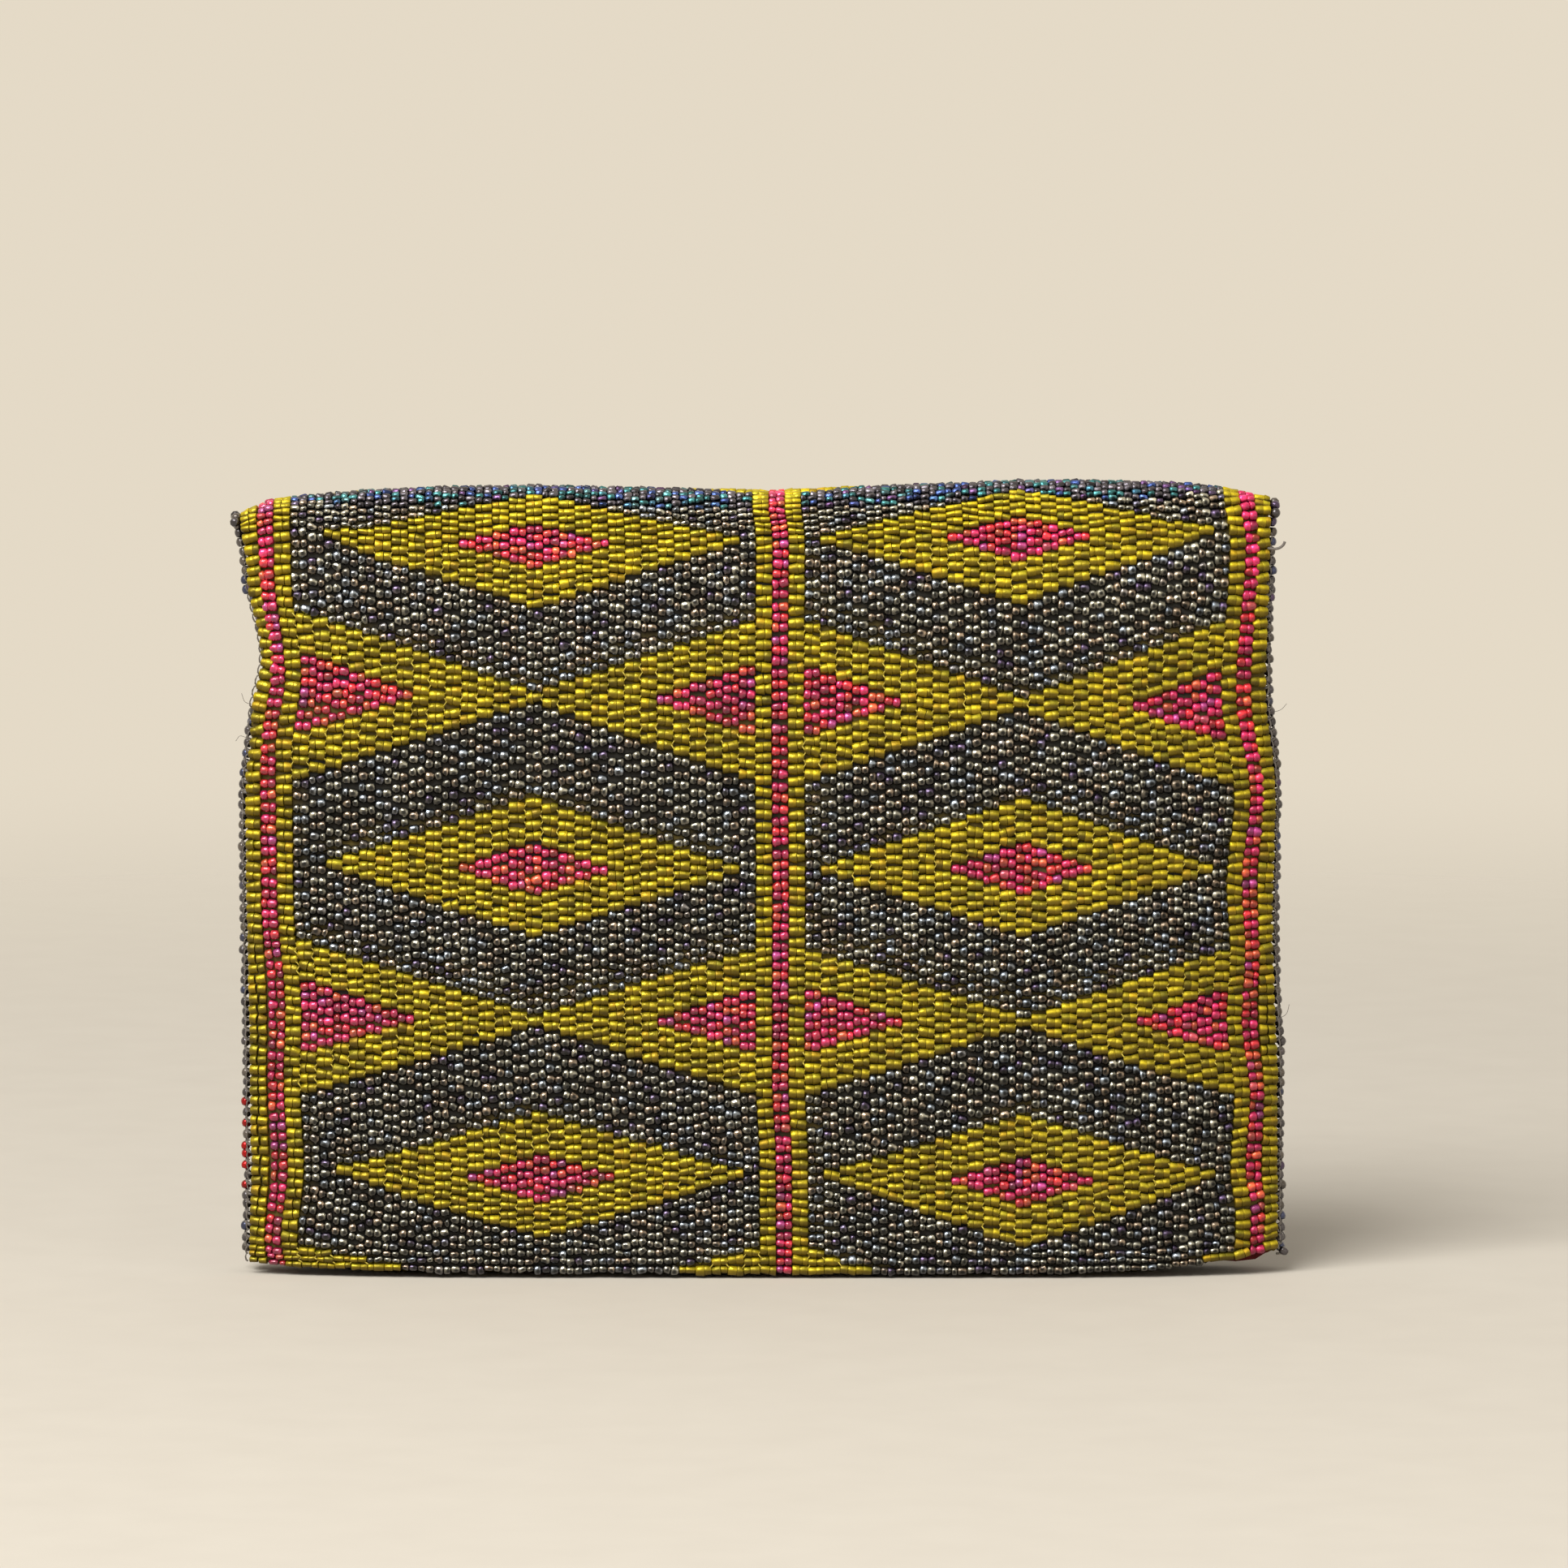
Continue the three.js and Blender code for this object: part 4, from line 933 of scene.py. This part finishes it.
piece = put_mesh("picot_beads_roll", edge_glass, *round_beads(
    centres.reshape(-1, 3), lie.reshape(-1, 3), PICOT_RADIUS, PICOT_LENGTH))
bend(piece)

turn = np.linspace(-np.pi / 2, np.pi / 2, TURN_POINTS)
rows = first_row[[0, -1], None] + 0.5 + np.arange(ROWS_ON_FLAP - 1)
loops = row_measure(rows, edge_x[:, None])[..., None] + 0.5 * ROW_HEIGHT * np.sin(turn)
path = strip_point(edge_x, loops.reshape(2, -1), BEAD_RADIUS).reshape(*loops.shape, 3)
path[..., 0] += outward[..., None] * TURN_REACH * np.cos(turn)
sewn = rows > lowest_row(np.array([0, COLUMNS - 1]))[:, None] + 0.5
sew(put_mesh("flap_edge_thread", grey_thread, *tubes(path[sewn], TURN_RADIUS, TURN_SIDES)), "flap")


# Loose ends. At the right lower corner a stitch has pulled out into a loop with two dark beads, at the right
# top a thick thread end sticks out, and a few fibres stand off the seams.
LOOP_POINTS, LOOP_BEADS = 22, [6, 15]
LOOP_BEAD_LIE = np.array([[0.1, 0, -1.0], [1.0, 0, -0.5]])
LOOP_BEAD_RADIUS, LOOP_BEAD_LENGTH = 0.85, 1.8
LOOP_RADIUS, END_RADIUS, FIBRE_RADIUS, LOOSE_SIDES = 0.24, 0.29, 0.05, 5


def curve(*knots, points=9):
    """A smooth thread through knots in millimetres: cubic steps between points of a chain that leave each
    knot along the line between its neighbours."""
    k = np.array(knots, float)
    slope = np.gradient(k, axis=0)
    at = np.linspace(0, len(k) - 1, points)
    i = np.minimum(at.astype(int), len(k) - 2)
    u = (at - i)[:, None]
    return ((2 * u ** 3 - 3 * u ** 2 + 1) * k[i] + (u ** 3 - 2 * u ** 2 + u) * slope[i]
            + (3 * u ** 2 - 2 * u ** 3) * k[i + 1] + (u ** 3 - u ** 2) * slope[i + 1])


pulled_loop = curve((102.0, 0.0, 9.6), (102.8, -1.0, 8.8), (103.4, -1.4, 7.1), (103.1, -1.4, 5.7),
                    (103.2, -1.4, 4.8), (104.2, -1.4, 4.2), (105.1, -1.0, 3.8), (102.8, 0.0, 3.4),
                    points=LOOP_POINTS)
thread_end = curve((100.4, -2.9, 145.2), (101.8, -3.6, 145.1), (102.8, -3.7, 145.4), (103.4, -3.7, 145.9),
                   (103.7, -3.7, 146.6))
fibres = np.stack([
    curve((101.0, 1.0, 112.0), (103.2, 0.8, 112.6), (104.4, 0.4, 113.9)),
    curve((102.8, 1.0, 50.5), (104.6, 0.5, 51.6), (105.2, 0.2, 53.6)),
    curve((-101.0, 1.0, 113.6), (-102.9, 0.6, 114.2), (-103.6, 0.2, 116.0)),
    curve((-102.6, 1.0, 107.0), (-104.0, 0.7, 107.4), (-104.8, 0.4, 106.4)),
])
pale_thread = thread_material("pale_thread", (0.20, 0.18, 0.155), (0.46, 0.42, 0.37))
LOOSE = (("pulled_loop", pulled_loop[None], LOOP_RADIUS, "pouch", pale_thread),
         ("thread_end", thread_end[None], END_RADIUS, "flap", grey_thread),
         ("loose_fibres", fibres, FIBRE_RADIUS, "pouch", grey_thread))
for name, paths, radius, body, material in LOOSE:
    sew(put_mesh(name, material, *tubes(paths, radius, LOOSE_SIDES)), body)
sew(put_mesh("loop_beads", edge_glass, *round_beads(
    pulled_loop[LOOP_BEADS], LOOP_BEAD_LIE, LOOP_BEAD_RADIUS, LOOP_BEAD_LENGTH)))


# Snap. A sewn press stud holds the flap: the stud on the flap's lining, the socket on the inner front, both
# pressed from thin steel and plated, dulled by use.
SNAP_NOISE, SNAP_POLISHED, SNAP_DULL = (500.0, 4.0), 0.22, 0.48
plated, tree, shader = new_material("plated_steel")
wear = noise(tree, *SNAP_NOISE)
rough = add_node(tree, "ShaderNodeMapRange", {0: wear, 3: SNAP_POLISHED, 4: SNAP_DULL}).outputs[0]
feed(tree, shader, {"Base Color": mix_colour(tree, wear, (0.42, 0.40, 0.36, 1), (0.66, 0.65, 0.62, 1)),
                    "Roughness": rough, "Metallic": 1.0})
for node in ("snap_stud", "snap_socket"):
    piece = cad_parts[node]
    piece.data.materials.clear()
    piece.data.materials.append(plated)


# Floor, light and camera. A pale floor under an even pale surround, a soft key from the upper left, and a
# long lens a little above the bag and square to its front, as in the photograph.
FLOOR_HALF = 3.0
FLOOR_CLEAR, FLOOR_GONE = 0.28, 1.0
FLOOR_NOISE, FLOOR_ROUGHNESS = (60.0, 4.0), 0.9
SURROUND_LIGHT = 0.36
LAMPS = (("key", 78.0, 1.7, (-1.00, -1.50, 2.10)), ("fill", 2.0, 1.2, (1.2, -1.3, 0.6)))
LAMP_TARGET = (0, 0, 0.08)
VIEW_CENTRE = np.array([4.35, -9.0, 98.8]) * MM
VIEW_WIDTH = 0.311
VIEW_DISTANCE = 2.2
VIEW_RAISE = math.radians(6)
SENSOR_WIDTH = 36

pale, tree, shader = new_material("pale_floor")
grain = mix_colour(tree, noise(tree, *FLOOR_NOISE), (0.67, 0.61, 0.515, 1), (0.72, 0.66, 0.56, 1))
feed(tree, shader, {"Base Color": grain, "Roughness": FLOOR_ROUGHNESS})
where = add_node(tree, "ShaderNodeTexCoord").outputs["Object"]
far = add_node(tree, "ShaderNodeVectorMath", {0: where}, operation="LENGTH").outputs["Value"]
clear = add_node(tree, "ShaderNodeBsdfTransparent").outputs[0]
fading = add_node(tree, "ShaderNodeMixShader",
                  {0: between(tree, far, FLOOR_CLEAR, FLOOR_GONE), 1: shader.outputs[0], 2: clear}).outputs[0]
feed(tree, tree.nodes["Material Output"], {0: fading})
floor_points = np.array([(-1, -1, 0), (1, -1, 0), (1, 1, 0), (-1, 1, 0)]) * FLOOR_HALF / MM
put_mesh("floor", pale, floor_points, [range(len(floor_points))])

scene = bpy.context.scene
world = scene.world = bpy.data.worlds.new("surround")
world.use_nodes = True
tree = world.node_tree
tree.nodes.clear()
seen = add_node(tree, "ShaderNodeLightPath").outputs
direct = math_node(tree, "MAXIMUM", seen["Is Camera Ray"], seen["Is Transmission Ray"])
direct = math_node(tree, "MAXIMUM", direct, seen["Is Glossy Ray"])
shown = add_node(tree, "ShaderNodeBackground", {0: (0.78, 0.70, 0.57, 1)}).outputs[0]
around = add_node(tree, "ShaderNodeBackground", {0: (1.0, 0.97, 0.92, 1), 1: SURROUND_LIGHT}).outputs[0]
both = add_node(tree, "ShaderNodeMixShader", {0: direct, 1: around, 2: shown}).outputs[0]
add_node(tree, "ShaderNodeOutputWorld", {0: both})


def aim(thing, place, target):
    """Puts a lamp or camera at a place and turns it towards a target."""
    back = np.asarray(place, float) - np.asarray(target, float)
    thing.location = place
    thing.rotation_euler = (math.acos(back[2] / np.linalg.norm(back)), 0, math.atan2(back[0], -back[1]))
    scene.collection.objects.link(thing)


for name, power, width, place in LAMPS:
    lamp = bpy.data.lights.new(name, "AREA")
    lamp.energy, lamp.size = power, width
    aim(bpy.data.objects.new(name, lamp), place, LAMP_TARGET)

lens = bpy.data.cameras.new("camera")
lens.sensor_width = SENSOR_WIDTH
lens.lens = SENSOR_WIDTH * VIEW_DISTANCE / VIEW_WIDTH
camera = bpy.data.objects.new("camera", lens)
aim(camera, VIEW_CENTRE + VIEW_DISTANCE * np.array([0, -math.cos(VIEW_RAISE), math.sin(VIEW_RAISE)]),
    VIEW_CENTRE)
scene.camera = camera
scene.view_settings.view_transform = "Standard"
